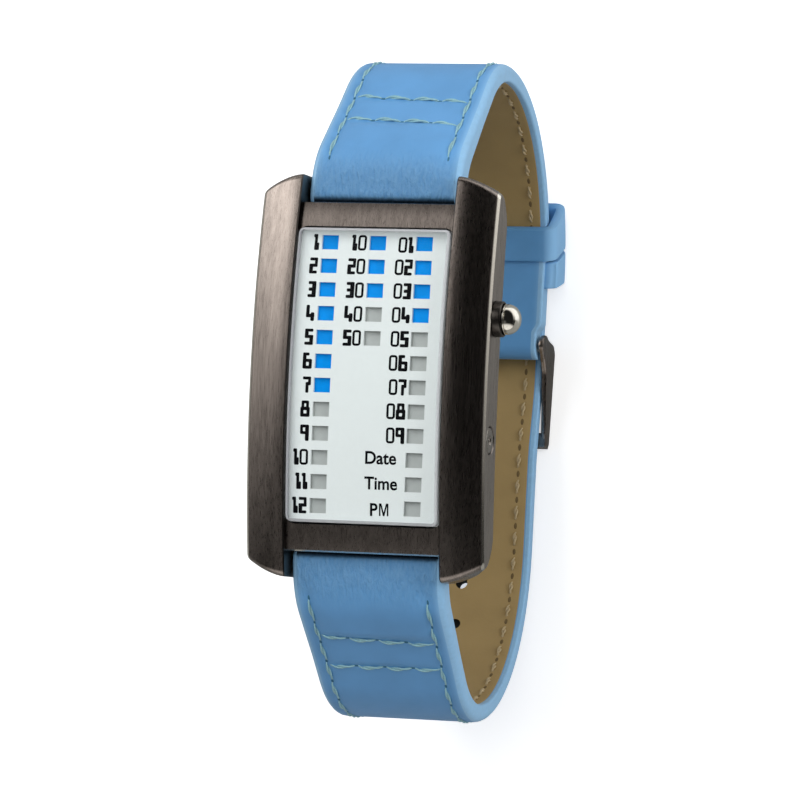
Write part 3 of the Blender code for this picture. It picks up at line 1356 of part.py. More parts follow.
def all_holes():
    holes = [strap_hole(s, HOLE_DIAMETER, HOLE_DIAMETER) for s in hole_places]
    return join(strap_hole(used_hole, USED_HOLE_LENGTH, USED_HOLE_WIDTH), *holes)


watch.boolean(strap_6, "DIFFERENCE", "leather_hole_cutter", all_holes())
watch.boolean(lining_6, "DIFFERENCE", "lining_hole_cutter", all_holes())


# Keepers: one held under the flap of the folded end, one that slides round the back arc

def keeper_loop(start, span, low_outside, low_inside):
    """A band bent about the back arc's centre, with its hollow: start and span are angles.

    low_outside and low_inside are the radii of the two faces of its band next to the wrist.
    """
    centre = np.array((BACK_Y, BACK_Z))
    far_inside, far_outside = KEEPER_OUTER_RADIUS, KEEPER_OUTER_RADIUS + KEEPER_WALL
    outer_rings, inner_rings = [], []
    for k in range(KEEPER_STATIONS + 1):
        angle = start - QUARTER + span * k / KEEPER_STATIONS
        for rings, half, low, high, cut in (
            (outer_rings, KEEPER_HALF + KEEPER_WALL, low_outside, far_outside, KEEPER_CORNER),
            (inner_rings, KEEPER_HALF, low_inside, far_inside, RUNNING_GAP),
        ):
            right = [(half - cut, low), (half, low + cut), (half, high - cut), (half - cut, high)]
            section = right + [(-x, r) for x, r in reversed(right)]
            rings.append([(x, *(centre + unit(angle - keeper_lean(r)) * r)) for x, r in section])
    return loft(outer_rings + inner_rings[::-1], closed=True)


watch.add(
    "keeper_fixed",
    keeper_loop(FIXED_KEEPER_START, FIXED_KEEPER_SPAN, FIXED_BAND_RADIUS, FIXED_BAND_RADIUS + KEEPER_BAND),
    BLUE_LEATHER,
    pivot=(0.0, BACK_Y, BACK_Z),
)
watch.add(
    "keeper_sliding",
    keeper_loop(
        SLIDING_KEEPER_START, SLIDING_KEEPER_SPAN, KEEPER_INNER_RADIUS - KEEPER_WALL, KEEPER_INNER_RADIUS
    ),
    BLUE_LEATHER,
    pivot=(0.0, BACK_Y, BACK_Z),
)


# Buckle: frame, bar and tongue

buckle_inner = BACK_HALF + SIDE_GAP
buckle_bar_half = buckle_inner + BUCKLE_SIDE / 2
watch.add(
    "buckle_bar",
    turned(
        [(-buckle_bar_half, BUCKLE_BAR_DIAMETER / 2), (buckle_bar_half, BUCKLE_BAR_DIAMETER / 2)],
        buckle_pivot,
        sides=SMALL_SIDES,
    ),
    STEEL,
    pivot=buckle_pivot,
)


def buckle_outline():
    """Side view of the frame: a round boss on the bar, a flat underside and a lower front end."""
    boss = BUCKLE_BOSS_RADIUS
    points = []
    for k in range(7):
        angle = -QUARTER / 2 + 1.5 * QUARTER * k / 6
        points.append((PIVOT_Y + boss * math.cos(angle), PIVOT_Z + boss * math.sin(angle)))
    points.append((FRONT_END_Y + BUCKLE_FRONT, FRONT_BAR_TOP + BUCKLE_FRONT_HEIGHT / 4))
    points.append((FRONT_END_Y, FRONT_BAR_TOP - BUCKLE_FRONT_HEIGHT / 4))
    points.append((FRONT_END_Y, FLOOR_LEVEL + BUCKLE_FRONT_HEIGHT / 4))
    points.append((FRONT_END_Y + BUCKLE_FRONT / 4, FLOOR_LEVEL))
    points.append((PIVOT_Y - boss, FLOOR_LEVEL))
    return points


def buckle_half(y):
    """The arms draw together a little towards the front bar."""
    return buckle_inner + BUCKLE_SIDE - BUCKLE_TAPER * (PIVOT_Y - y) / BUCKLE_LENGTH


buckle = watch.add("buckle_frame", prism(buckle_outline(), buckle_half), GUNMETAL, pivot=buckle_pivot)
boss_clear = BUCKLE_BOSS_RADIUS + CUT_OVERRUN
opening = box(
    (-buckle_inner, FRONT_END_Y + BUCKLE_FRONT, FLOOR_LEVEL - CUT_OVERRUN),
    (buckle_inner, PIVOT_Y + boss_clear, PIVOT_Z + boss_clear),
)
watch.boolean(buckle, "DIFFERENCE", "buckle_opening_cutter", opening)
lowered = box(
    (-buckle_inner, FRONT_END_Y - CUT_OVERRUN, FRONT_BAR_TOP),
    (buckle_inner, FRONT_END_Y + BUCKLE_FRONT + CUT_OVERRUN, PIVOT_Z + boss_clear),
)
watch.boolean(buckle, "DIFFERENCE", "front_bar_cutter", lowered)
notch_half = tongue_half + RUNNING_GAP + SEAT_GAP
notch = box(
    (-notch_half, FRONT_END_Y - CUT_OVERRUN, FLOOR_LEVEL - CUT_OVERRUN),
    (notch_half, FRONT_END_Y + BUCKLE_FRONT + CUT_OVERRUN, FLOOR_LEVEL + NOTCH_DEPTH),
)
watch.boolean(buckle, "DIFFERENCE", "tongue_notch_cutter", notch)
seat_half = buckle_bar_half + RUNNING_GAP
bar_seat = turned(
    [(-seat_half, buckle_bore_radius), (seat_half, buckle_bore_radius)], buckle_pivot, sides=SMALL_SIDES
)
watch.boolean(buckle, "DIFFERENCE", "bar_seat_cutter", bar_seat)


def tongue_shape():
    """A blade with an eye round the bar: it runs level, dips through the strap and ends in the notch."""
    eye = buckle_bore_radius + TONGUE_EYE_WALL
    half = TONGUE_THICKNESS / 2
    low = FLOOR_LEVEL + (NOTCH_DEPTH - TONGUE_THICKNESS) / 2 + half
    crossing = line_6.at(used_hole)[0][0]
    crank = TONGUE_CRANK_LENGTH / 2
    level_z = PIVOT_Z - eye + half
    route = [
        (PIVOT_Y, level_z),
        (crossing + crank, level_z),
        (crossing - crank, low),
        (FRONT_END_Y - TONGUE_OVERHANG, low),
    ]
    upper, lower = [], []
    for k, point in enumerate(route):
        before = np.array(route[max(k - 1, 0)])
        after = np.array(route[min(k + 1, len(route) - 1)])
        way = (after - before) / np.linalg.norm(after - before)
        side = np.array((way[1], -way[0]))
        here = np.array(point)
        upper.append(tuple(here + side * half))
        lower.append(tuple(here - side * half))
    blade = prism(upper + lower[::-1], tongue_half)
    ring = turned([(-tongue_half, eye), (tongue_half, eye)], buckle_pivot)
    return blade, ring


tongue_blade, tongue_eye = tongue_shape()
tongue = watch.add("buckle_tongue", tongue_blade, GUNMETAL, pivot=buckle_pivot)
watch.boolean(tongue, "UNION", "tongue_eye_tool", tongue_eye)
tongue_bore = turned(
    [(-TONGUE_WIDTH, buckle_bore_radius), (TONGUE_WIDTH, buckle_bore_radius)], buckle_pivot, sides=SMALL_SIDES
)
watch.boolean(tongue, "DIFFERENCE", "tongue_bore_cutter", tongue_bore)
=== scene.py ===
"""Wristwatch with a grid of lit windows in a curved gunmetal case, on a closed blue leather strap.

Lengths are in millimetres about the middle of the case: +Z out of the dial, +Y towards 12 o'clock.
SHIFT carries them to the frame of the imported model, and MM to metres.
"""
import math

import bmesh
import bpy
import numpy as np
from mathutils import Matrix, Vector


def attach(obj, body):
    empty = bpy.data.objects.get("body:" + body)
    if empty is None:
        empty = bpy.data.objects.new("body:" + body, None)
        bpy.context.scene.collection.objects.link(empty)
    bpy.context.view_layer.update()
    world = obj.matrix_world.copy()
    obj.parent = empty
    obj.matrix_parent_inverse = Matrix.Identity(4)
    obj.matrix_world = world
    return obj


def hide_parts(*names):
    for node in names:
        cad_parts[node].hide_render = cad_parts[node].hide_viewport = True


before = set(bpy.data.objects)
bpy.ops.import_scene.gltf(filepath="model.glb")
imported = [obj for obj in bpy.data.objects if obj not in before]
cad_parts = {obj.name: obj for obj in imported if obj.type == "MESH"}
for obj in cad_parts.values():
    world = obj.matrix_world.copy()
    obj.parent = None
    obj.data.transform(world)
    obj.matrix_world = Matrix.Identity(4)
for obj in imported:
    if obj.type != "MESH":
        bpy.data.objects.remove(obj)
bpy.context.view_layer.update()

MM = 0.001
SHIFT = np.array((-1.55, 0.0, 52.4513))
QUARTER = math.pi / 2

# Case
CASE_LENGTH = 47.6
CASE_ARC = (CASE_LENGTH ** 2 / 4 + 2.733 ** 2) / (2 * 2.733)
LUG_HALF = 9.45
RAIL_WIDTH = 5.05
RAIL_CREST = 0.75
RAIL_DROP = 1.45
RAIL_OUTER = LUG_HALF + RAIL_WIDTH
INNER_CHAMFER, INNER_FALL = 0.03, 0.11
CROWN_START, CROWN_END, CROWN_FALL = 0.06, 0.94, 0.92
OUTER_FALL = 0.26
CROWN_COLUMNS = 27
WALL_COLUMNS = 8
ROWS_ALONG, ROWS_ROUND, ROWS_SHUT = 101, 8, 6
ROW_SPREAD = 0.97
FLANK_HEIGHT = 4.7
RAIL_FOOT = 1.6
FOOT_INSET = 1.5
BELLY_ARC = 190.0
RAIL_HEEL = 2.6
HEEL_LENGTH = 4.2
END_SETBACK = 1.9
END_POWER = 1.6
END_ROUND = 0.7
END_SQUEEZE = 0.35
BODY_END = 20.5
BODY_WALL = 19.7
BEZEL_LEVEL = -0.1
BEZEL_HALF = 9.6
BEZEL_ROLL = 0.10
BEZEL_GAP = 0.07
BEZEL_COLUMNS, LIP_COLUMNS = 12, 5
BEZEL_STRIP = 0.17
BEZEL_REACH = 0.25
BEZEL_FALL = 0.3
VISOR = 0.7
SHELF_LEVEL = 3.1
BAR_FOOT = -7.5
TUB_HALF = 13.65
TUB_BOTTOM = 8.1
TUB_CORNER = 1.5
TUB_TOP = -4.7
TUB_CHAMFER = 0.25
CAVITY_HALF = 11.4
CAVITY_END = 17.0
CAVITY_TOP = -4.1
CAVITY_CORNER = 2.5
POCKET_END = 17.5
POCKET_CORNER = 1.1
BACK_SIZE = (26.5, 38.6)
BACK_CORNER = 1.4

# Crystal and dial
CRYSTAL_SIZE = (18.5, 34.6)
CRYSTAL_CORNER = 0.65
CRYSTAL_CREST = 0.8
CRYSTAL_THICKNESS = 1.3
CRYSTAL_BEVEL = 0.3
CRYSTAL_UNDERCUT = 0.05
DIAL_TOP = -0.7
DIAL_THICKNESS = 0.4
FILM_TOP = -1.3
WINDOW = (2.03, 1.72)
COLUMNS = (-5.68, 0.16, 5.85)
COLUMN_BOW = (0.17, 0.17, 0.26)
COLUMN_ROWS = (12, 5, 12)
COLUMN_LIT = (7, 3, 4)
FIRST_ROW = 15.69
ROW_PITCH = 2.822

# Buttons and screws
BUTTON_Z = -3.3
PUSHER_Y = 7.2
CORRECTOR_Y = -7.0
STEM_END = 10.75
PUSHER_BORE = ((10.0, 1.4), (13.4, 1.4), (13.4, 2.15), (16.0, 2.15))
CORRECTOR_BORE = ((10.0, 0.7), (12.75, 0.7), (12.75, 1.3), (13.7, 1.3), (13.7, 1.66), (14.4, 1.66),
                  (14.54, 1.78), (16.0, 1.78))
PROFILE_ROUND, PROFILE_STEPS = 0.06, 8
SCREW_PLACE = (12.25, 18.3)
SCREW_BORE = ((-10.0, 0.95), (-8.72, 0.95), (-8.72, 0.6), (-8.0, 0.6))
TIP_BORE = 0.475

# Strap
BAR_Y = 21.7
BAR_Z = -5.4
STRAP_LUG_HALF = 9.3
BUCKLE_STRAP_HALF = 8.8
BACK_HALF = 8.2
LUG_THICKNESS = 3.2
STRAP_THICKNESS = 2.2
TAIL_THICKNESS = 1.6
PADDING = 14.0
FOLD_EXTRA = 1.0
FOLD_RADIUS = 1.6
BACK_RADIUS = 22.5
BACK_CENTRE = np.array((16.4677, -25.5013))
PIVOT = np.array((7.1677, -47.5013))
FLOOR = -52.4513
STITCH_EDGE = 1.95
STITCH_START = 3.9
LINING_PITCH = 3.3
LINING_STITCH_START = 8.0
ROWS_12 = (10.2, 15.1)
ROWS_6 = (9.75, 14.7)
PILLOW_RISE = (0.40, 0.12)
ROW_PRESS, ROW_WIDTH = 0.10, 0.35
CHANNEL_PRESS, CHANNEL_WIDTH = 0.13, 0.32
ROLL_SHADE = 0.17
CREASE_REACH = 6.5
CREASE_PALENESS = 0.45
BAR_ROLL = 1.6
STRAP_CORNERS = (0.95, 0.3)
LINING_CORNERS = (0.1, 0.12)
LINING_INSET = 0.75
LINING_DEPTH = 0.5
LINING_PROUD = 0.05
LINING_START = 5.5
TIP_LENGTH = 3.0
SECTION_ACROSS, SECTION_CORNER, SECTION_WALL = 49, 6, 5
ROLL_ROWS = 8
HOLE_PITCH = 6.1
HOLE_WIDTH = 1.5
USED_HOLE = (3.6, 2.1)

# Keepers and buckle
KEEPER_WALL = 1.15
KEEPER_CLEAR = 0.35
KEEPER_FAR = BACK_RADIUS + STRAP_THICKNESS / 2 + 0.3 + TAIL_THICKNESS + 0.3
KEEPER_NEAR = 21.1
KEEPER_LEAN = math.radians(5.2)
KEEPER_EDGE = 0.22
BUCKLE_LENGTH = 12.6
BUCKLE_ARM = (0.3, 0.98)
BUCKLE_EDGE = 0.22
BUCKLE_LIFT = 1.9
BOSS_RADIUS = 1.6
NOTCH_HALF, NOTCH_HEIGHT = 1.05, 1.3
TONGUE_HALF, TONGUE_THICKNESS = 0.75, 0.75


def srgb(red, green, blue):
    """A colour written in screen values from 0 to 255, as the linear light that shaders take."""
    share = np.array((red, green, blue)) / 255.0
    linear = np.where(share <= 0.04045, share / 12.92, ((share + 0.055) / 1.055) ** 2.4)
    return tuple(float(each) for each in linear) + (1.0,)


# Materials

def blank_material(name):
    """A new material with its shader and nodes ready."""
    material = bpy.data.materials.new(name)
    material.use_nodes = True
    return material, material.node_tree, material.node_tree.nodes["Principled BSDF"]


def noise_field(tree, stretch, scale, detail=4.0, roughness=0.55):
    """Noise on the object's own metres, drawn out along an axis by a smaller number in stretch."""
    place = tree.nodes.new("ShaderNodeTexCoord")
    mapping = tree.nodes.new("ShaderNodeMapping")
    mapping.inputs["Scale"].default_value = stretch
    noise = tree.nodes.new("ShaderNodeTexNoise")
    noise.inputs["Scale"].default_value = scale
    noise.inputs["Detail"].default_value = detail
    noise.inputs["Roughness"].default_value = roughness
    tree.links.new(place.outputs["Object"], mapping.inputs["Vector"])
    tree.links.new(mapping.outputs["Vector"], noise.inputs["Vector"])
    return noise.outputs["Fac"]


def spread_range(tree, field, low, high):
    """The field's middle half stretched from low to high."""
    node = tree.nodes.new("ShaderNodeMapRange")
    node.inputs["From Min"].default_value = 0.3
    node.inputs["From Max"].default_value = 0.7
    node.inputs["To Min"].default_value = low
    node.inputs["To Max"].default_value = high
    tree.links.new(field, node.inputs["Value"])
    return node.outputs["Result"]


def feed(tree, socket, value):
    """Gives a socket a number or colour, or another node's output."""
    if isinstance(value, bpy.types.NodeSocket):
        tree.links.new(value, socket)
    else:
        socket.default_value = value


def combine(tree, operation, *values):
    """A maths node on its values, each a number or another node's output."""
    node = tree.nodes.new("ShaderNodeMath")
    node.operation = operation
    for socket, value in zip(node.inputs, values):
        feed(tree, socket, value)
    return node.outputs["Value"]


def tint(tree, field, dark, light):
    """A colour between dark and light by the field: each is a colour or another node's output."""
    mix = tree.nodes.new("ShaderNodeMix")
    mix.data_type = "RGBA"
    feed(tree, mix.inputs["A"], dark)
    feed(tree, mix.inputs["B"], light)
    tree.links.new(field, mix.inputs["Factor"])
    return mix.outputs["Result"]


def blend(tree, factor, first, second):
    """A shader between two others by a factor."""
    mix = tree.nodes.new("ShaderNodeMixShader")
    feed(tree, mix.inputs["Fac"], factor)
    tree.links.new(first, mix.inputs[1])
    tree.links.new(second, mix.inputs[2])
    return mix.outputs["Shader"]


def relief(tree, field, strength, depth, below=None):
    """A bump from the field, depth in metres, laid over another bump if one is given."""
    bump = tree.nodes.new("ShaderNodeBump")
    bump.inputs["Strength"].default_value = strength
    bump.inputs["Distance"].default_value = depth
    tree.links.new(field, bump.inputs["Height"])
    if below:
        tree.links.new(below, bump.inputs["Normal"])
    return bump.outputs["Normal"]


def shaded(colour, factor):
    """The same colour, lighter or darker."""
    return tuple(min(each * factor, 1.0) for each in colour[:3]) + (1.0,)


def plain_finish(name, colour, metallic, roughness, scale, change, depth, shine=0.5):
    """A finish whose colour, gloss and surface all vary a little by one field of noise."""
    material, tree, shader = blank_material(name)
    field = noise_field(tree, (1, 1, 1), scale)
    even = spread_range(tree, field, 0.0, 1.0)
    light = tint(tree, even, shaded(colour, 1 - change), shaded(colour, 1 + change))
    tree.links.new(light, shader.inputs["Base Color"])
    gloss = spread_range(tree, field, roughness * (1 - change), roughness * (1 + change))
    tree.links.new(gloss, shader.inputs["Roughness"])
    tree.links.new(relief(tree, field, 0.4, depth), shader.inputs["Normal"])
    shader.inputs["Metallic"].default_value = metallic
    shader.inputs["Specular IOR Level"].default_value = shine
    return material


def brushed_gunmetal():
    """Dark coated steel, brushed along the case: long fine scratches over broader soft bands.

    Painted shade darkens it where the piece's shade value is high.
    """
    material, tree, shader = blank_material("brushed_gunmetal")
    fine = noise_field(tree, (1.0, 0.022, 1.0), 9000.0, 3.0, 0.7)
    broad = noise_field(tree, (1.0, 0.05, 1.0), 1700.0, 3.0, 0.6)
    scratches = combine(tree, "ADD", spread_range(tree, fine, 0.0, 0.6), spread_range(tree, broad, 0.0, 0.4))
    colour = tint(tree, scratches, (0.150, 0.130, 0.119, 1.0), (0.380, 0.335, 0.310, 1.0))
    shade = tint(tree, attribute(tree, "shade"), colour, (0.024, 0.020, 0.018, 1.0))
    tree.links.new(shade, shader.inputs["Base Color"])
    tree.links.new(spread_range(tree, fine, 0.24, 0.36), shader.inputs["Roughness"])
    tree.links.new(relief(tree, scratches, 0.35, 0.000012), shader.inputs["Normal"])
    shader.inputs["Metallic"].default_value = 1.0
    return material


def attribute(tree, name):
    """A value written on the piece's own points."""
    node = tree.nodes.new("ShaderNodeAttribute")
    node.attribute_name = name
    return node.outputs["Fac"]


def leather(name, colour, pale, roughness, pore, depth):
    """Smooth leather: slow changes of colour, fine pores, and creases where the piece's crease value is high.

    It turns pale where the piece's rim value is high (painted highlight) and dark where its shade value is
    high (painted shade).
    """
    material, tree, shader = blank_material(name)
    slow = noise_field(tree, (1, 1, 1), 160.0, 3.0)
    pores = noise_field(tree, (1, 1, 1), pore, 5.0, 0.65)
    creases = noise_field(tree, (2.0, 0.6, 0.6), 1500.0, 4.0, 0.6)
    even = spread_range(tree, slow, 0.0, 1.0)
    tone = tint(tree, even, shaded(colour, 0.93), shaded(colour, 1.06))
    deep = combine(tree, "MULTIPLY", spread_range(tree, creases, 0.0, 1.0), attribute(tree, "crease"))
    # painted highlight: the rim value turns the leather pale along its edges; creases turn paler too
    crease_paleness_and_rim_highlight = combine(tree, "MULTIPLY_ADD", deep, CREASE_PALENESS, attribute(tree, "rim"))
    rim = tint(tree, crease_paleness_and_rim_highlight, tone, pale)
    # painted shade: the shade value darkens the leather to near black
    shade = tint(tree, attribute(tree, "shade"), rim, shaded(colour, 0.03))
    tree.links.new(shade, shader.inputs["Base Color"])
    tree.links.new(spread_range(tree, pores, roughness - 0.08, roughness + 0.08), shader.inputs["Roughness"])
    shader.inputs["Specular IOR Level"].default_value = 0.4
    grain = relief(tree, pores, 0.35, depth)
    tree.links.new(relief(tree, deep, 1.0, 0.00020, grain), shader.inputs["Normal"])
    return material


def clear_glass():
    """Coated mineral glass: clear straight on, with a faint polished reflection that grows at a slant.

    Only the outer side reflects, so the dial stays visible from low down too.
    """
    material, tree, shader = blank_material("clear_glass")
    field = noise_field(tree, (1, 1, 1), 400.0)
    tree.links.new(spread_range(tree, field, 0.010, 0.022), shader.inputs["Roughness"])
    shader.inputs["Base Color"].default_value = (0.9, 0.95, 1.0, 1.0)
    shader.inputs["Metallic"].default_value = 1.0
    see_through = tree.nodes.new("ShaderNodeBsdfTransparent")
    see_through.inputs["Color"].default_value = (0.985, 0.995, 1.0, 1.0)
    slant = tree.nodes.new("ShaderNodeFresnel")
    slant.inputs["IOR"].default_value = 1.16
    inside = tree.nodes.new("ShaderNodeNewGeometry")
    outer = combine(tree, "SUBTRACT", 1.0, inside.outputs["Backfacing"])
    mirror = combine(tree, "MULTIPLY", slant.outputs["Fac"], outer)
    mixed = blend(tree, mirror, see_through.outputs["BSDF"], shader.outputs["BSDF"])
    tree.links.new(mixed, tree.nodes["Material Output"].inputs["Surface"])
    return material


def ground_glass():
    """The crystal's bevel and edge: nearly opaque and softly shining, their pale colour a painted highlight.
    """
    material, tree, shader = blank_material("ground_glass")
    field = noise_field(tree, (1, 1, 1), 3000.0)
    tone = tint(tree, spread_range(tree, field, 0.0, 1.0), (0.55, 0.56, 0.59, 1.0), (0.60, 0.61, 0.64, 1.0))
    tree.links.new(tone, shader.inputs["Base Color"])
    tree.links.new(spread_range(tree, field, 0.14, 0.24), shader.inputs["Roughness"])
    see_through = tree.nodes.new("ShaderNodeBsdfTransparent")
    mixed = blend(tree, 0.75, see_through.outputs["BSDF"], shader.outputs["BSDF"])
    tree.links.new(mixed, tree.nodes["Material Output"].inputs["Surface"])
    return material


def lit_film(colour, strength):
    """Diffusing film with the light on behind it, a little uneven."""
    material, tree, shader = blank_material("lit_blue_film")
    field = noise_field(tree, (1, 1, 1), 900.0, 2.0)
    even = spread_range(tree, field, 0.0, 1.0)
    glow = tint(tree, even, shaded(colour, 0.92), shaded(colour, 1.05))
    tree.links.new(glow, shader.inputs["Base Color"])
    tree.links.new(glow, shader.inputs["Emission Color"])
    shader.inputs["Emission Strength"].default_value = strength
    shader.inputs["Specular IOR Level"].default_value = 0.1
    shader.inputs["Roughness"].default_value = 0.5
    return material


GUNMETAL = brushed_gunmetal()
POLISHED_EDGE = plain_finish("polished_gunmetal", (0.70, 0.67, 0.61, 1.0), 1.0, 0.13, 5000.0, 0.06, 0.000002)
# Darker than the gunmetal: painted shade on the rails' inner walls and the bezel bars' sides; also the pusher
# collar's dark metal.
DARK_METAL_AND_SHADE = plain_finish("dark_gunmetal_and_shade", (0.085, 0.078, 0.072, 1.0), 1.0, 0.30, 5000.0, 0.12, 0.000003)
POLISHED_CAP = plain_finish("polished_cap", (0.74, 0.72, 0.66, 1.0), 1.0, 0.12, 4000.0, 0.08, 0.000002)
STEEL = plain_finish("polished_steel", (0.50, 0.48, 0.43, 1.0), 1.0, 0.15, 4000.0, 0.10, 0.000003)
SATIN_STEEL = plain_finish("satin_steel", (0.26, 0.24, 0.22, 1.0), 1.0, 0.26, 4000.0, 0.10, 0.000003)
# the second colour is the pale of the painted highlight along the strap's edges
BLUE_LEATHER = leather("blue_leather", srgb(97, 156, 209), srgb(136, 186, 227), 0.46, 5200.0, 0.00002)
# Edge paint, lighter than the leather: partly the paint's own colour, partly a painted highlight on the side
# walls.
EDGE_PAINT_AND_HIGHLIGHT = plain_finish("edge_paint_and_highlight", srgb(140, 187, 224), 0.0, 0.40, 1800.0, 0.05, 0.00003)
TAN_LEATHER = leather("tan_lining", srgb(164, 140, 94), srgb(180, 156, 110), 0.78, 3600.0, 0.00004)
THREAD = plain_finish("waxed_thread", srgb(142, 186, 194), 0.0, 0.42, 9000.0, 0.16, 0.00003)
LINING_THREAD = plain_finish("lining_thread", srgb(178, 160, 124), 0.0, 0.5, 9000.0, 0.16, 0.00003)
# Dark pits at the needle holes: painted shade in the holes.
NEEDLE_HOLE_SHADE = plain_finish("needle_hole_shade", srgb(54, 106, 134), 0.0, 0.8, 6000.0, 0.2, 0.00002)
LINING_HOLE_SHADE = plain_finish("lining_hole_shade", srgb(104, 86, 54), 0.0, 0.8, 6000.0, 0.2, 0.00002)
PUNCHED = plain_finish("punched_leather", srgb(52, 50, 42), 0.0, 0.85, 4000.0, 0.25, 0.00004)
GLASS = clear_glass()
BEVEL_HIGHLIGHT_GLASS = ground_glass()
WHITE_DIAL = plain_finish("white_dial", srgb(235, 239, 236), 0.0, 0.5, 2500.0, 0.015, 0.000004, 0.1)
BLACK_PRINT = plain_finish("black_print", (0.004, 0.004, 0.005, 1.0), 0.0, 0.6, 6000.0, 0.2, 0.000003, 0.05)
MILKY_FILM = plain_finish("milky_film", srgb(183, 186, 183), 0.0, 0.55, 1500.0, 0.03, 0.000004, 0.1)
LIT_FILM = lit_film(srgb(0, 138, 221), 0.12)
BLACK_PLASTIC = plain_finish("black_plastic", (0.022, 0.022, 0.024, 1.0), 0.0, 0.5, 3000.0, 0.2, 0.00001)
GREEN_BOARD = plain_finish("green_board", (0.014, 0.15, 0.06, 1.0), 0.0, 0.4, 1200.0, 0.2, 0.00001)
RUBBER = plain_finish("black_rubber", (0.016, 0.016, 0.016, 1.0), 0.0, 0.75, 3500.0, 0.2, 0.00002)
GOLD = plain_finish("plated_contact", (0.80, 0.58, 0.22, 1.0), 1.0, 0.25, 3500.0, 0.12, 0.000004)
LIGHT_CHIP = plain_finish("light_chips", (0.74, 0.73, 0.64, 1.0), 0.0, 0.4, 2500.0, 0.1, 0.000006)


# Mesh making

def grid_faces(rows, columns, wrap_rows=False, wrap_columns=False):
    """Four-sided faces of a grid of points, joined round on itself where asked."""
    row = np.arange(rows if wrap_rows else rows - 1)
    column = np.arange(columns if wrap_columns else columns - 1)
    a, b = np.meshgrid(row, column, indexing="ij")
    next_a, next_b = (a + 1) % rows, (b + 1) % columns
    corners = (a * columns + b, next_a * columns + b, next_a * columns + next_b, a * columns + next_b)
    return np.stack(corners, axis=-1).reshape(-1, 4)


def shell(points, closed=False, paint=0):
    """Rings of points joined into a tube: rows are rings. Its ends are joined to each other or capped.

    paint is one material number, or one for each column of faces.
    """
    rows, columns = points.shape[:2]
    faces = grid_faces(rows, columns, closed, True)
    colours = np.broadcast_to(np.asarray(paint), (len(faces) // columns, columns)).reshape(-1)
    faces, colours = faces.tolist(), colours.tolist()
    if not closed:
        faces += [list(range(columns)), list(range((rows - 1) * columns, rows * columns))]
        colours += [colours[0], colours[-1]]
    return points.reshape(-1, 3), faces, colours


def rounded(points, radius, steps):
    """A closed outline whose corners are replaced by curves.

    Each corner P becomes (1-t)^2 A + 2t(1-t) P + t^2 C, where A and C lie radius away along its sides.
    """
    points = np.asarray(points, float)
    before, after = np.roll(points, 1, axis=0) - points, np.roll(points, -1, axis=0) - points
    before /= np.linalg.norm(before, axis=1, keepdims=True)
    after /= np.linalg.norm(after, axis=1, keepdims=True)
    reach = np.broadcast_to(np.asarray(radius, float), len(points))[:, None]
    start, stop = points + before * reach, points + after * reach
    t = np.linspace(0.0, 1.0, steps)[None, :, None]
    curve = (1 - t) ** 2 * start[:, None] + 2 * t * (1 - t) * points[:, None] + t ** 2 * stop[:, None]
    return curve.reshape(-1, points.shape[1])


def evenly(points, count):
    """A closed outline walked round again in equal steps."""
    loop = np.vstack((points, points[:1]))
    run = np.concatenate(((0.0,), np.cumsum(np.linalg.norm(np.diff(loop, axis=0), axis=1))))
    marks = np.linspace(0.0, run[-1], count, endpoint=False)
    return np.stack([np.interp(marks, run, loop[:, k]) for k in range(loop.shape[1])], axis=-1)


def pulled_in(outline, distance):
    """A closed outline moved inwards by a distance along its own normals."""
    way = np.roll(outline, -1, axis=0) - np.roll(outline, 1, axis=0)
    normal = np.stack((way[:, 1], -way[:, 0]), axis=-1)
    normal /= np.maximum(np.linalg.norm(normal, axis=1, keepdims=True), 1e-9)
    area = np.sum(outline[:, 0] * np.roll(outline[:, 1], -1) - outline[:, 1] * np.roll(outline[:, 0], -1))
    return outline - normal * distance * np.sign(area)


def rect_loop(width, length, corner, corner_steps=9, side_steps=25):
    """Points round a rectangle with round corners, as many on each corner and side whatever its size."""
    turn = np.linspace(0.0, QUARTER, corner_steps)
    x, y = width / 2 - corner, length / 2 - corner
    share = np.linspace(0.0, 1.0, side_steps + 2)[1:-1]
    parts = []
    for k, (sx, sy) in enumerate(((1, 1), (-1, 1), (-1, -1), (1, -1))):
        angle = turn + k * QUARTER
        arc = np.stack((sx * x + corner * np.cos(angle), sy * y + corner * np.sin(angle)), axis=-1)
        nx, ny = ((-1, 1), (-1, -1), (1, -1), (1, 1))[k]
        following = np.array((nx * x, ny * y)) + corner * np.array((math.cos(angle[-1]), math.sin(angle[-1])))
        parts += [arc, arc[-1] + share[:, None] * (following - arc[-1])]
    return np.vstack(parts)


def at_height(loop, z):
    """A flat outline set at a height, which may differ from point to point."""
    return np.column_stack((loop, np.broadcast_to(z, len(loop))))


def lathe(profile, centre, axis="X", sides=72, closed=False):
    """A profile of (distance along the axis, radius) turned about that axis through centre."""
    profile = np.asarray(profile, float)
    turn = np.linspace(0.0, 2 * math.pi, sides, endpoint=False)
    run = np.broadcast_to(profile[:, :1], (len(profile), sides))
    radius = np.maximum(profile[:, 1:], 0.001)
    first, second = radius * np.cos(turn), radius * np.sin(turn)
    order = {"X": (run, first, second), "Y": (second, run, first), "Z": (first, second, run)}[axis]
    points, faces, colours = shell(np.stack(order, axis=-1), closed)
    return points + np.asarray(centre, float), faces, colours


def mesh_object(name, shells, materials, sharp=34.0):
    """One object from closed shells, its faces turned outwards and shaded smooth but for sharp edges."""
    points = np.concatenate([each[0] for each in shells])
    starts = np.cumsum([0] + [len(each[0]) for each in shells[:-1]])
    faces = [[v + int(s) for v in face] for each, s in zip(shells, starts) for face in each[1]]
    paints = [p for each in shells for p in each[2]]
    mesh = bpy.data.meshes.new(name)
    mesh.from_pydata(((points + SHIFT) * MM).tolist(), [], faces)
    mesh.polygons.foreach_set("material_index", paints)
    for material in materials:
        mesh.materials.append(material)
    tidy_mesh(mesh, sharp)
    thing = bpy.data.objects.new(name, mesh)
    bpy.context.scene.collection.objects.link(thing)
    return thing


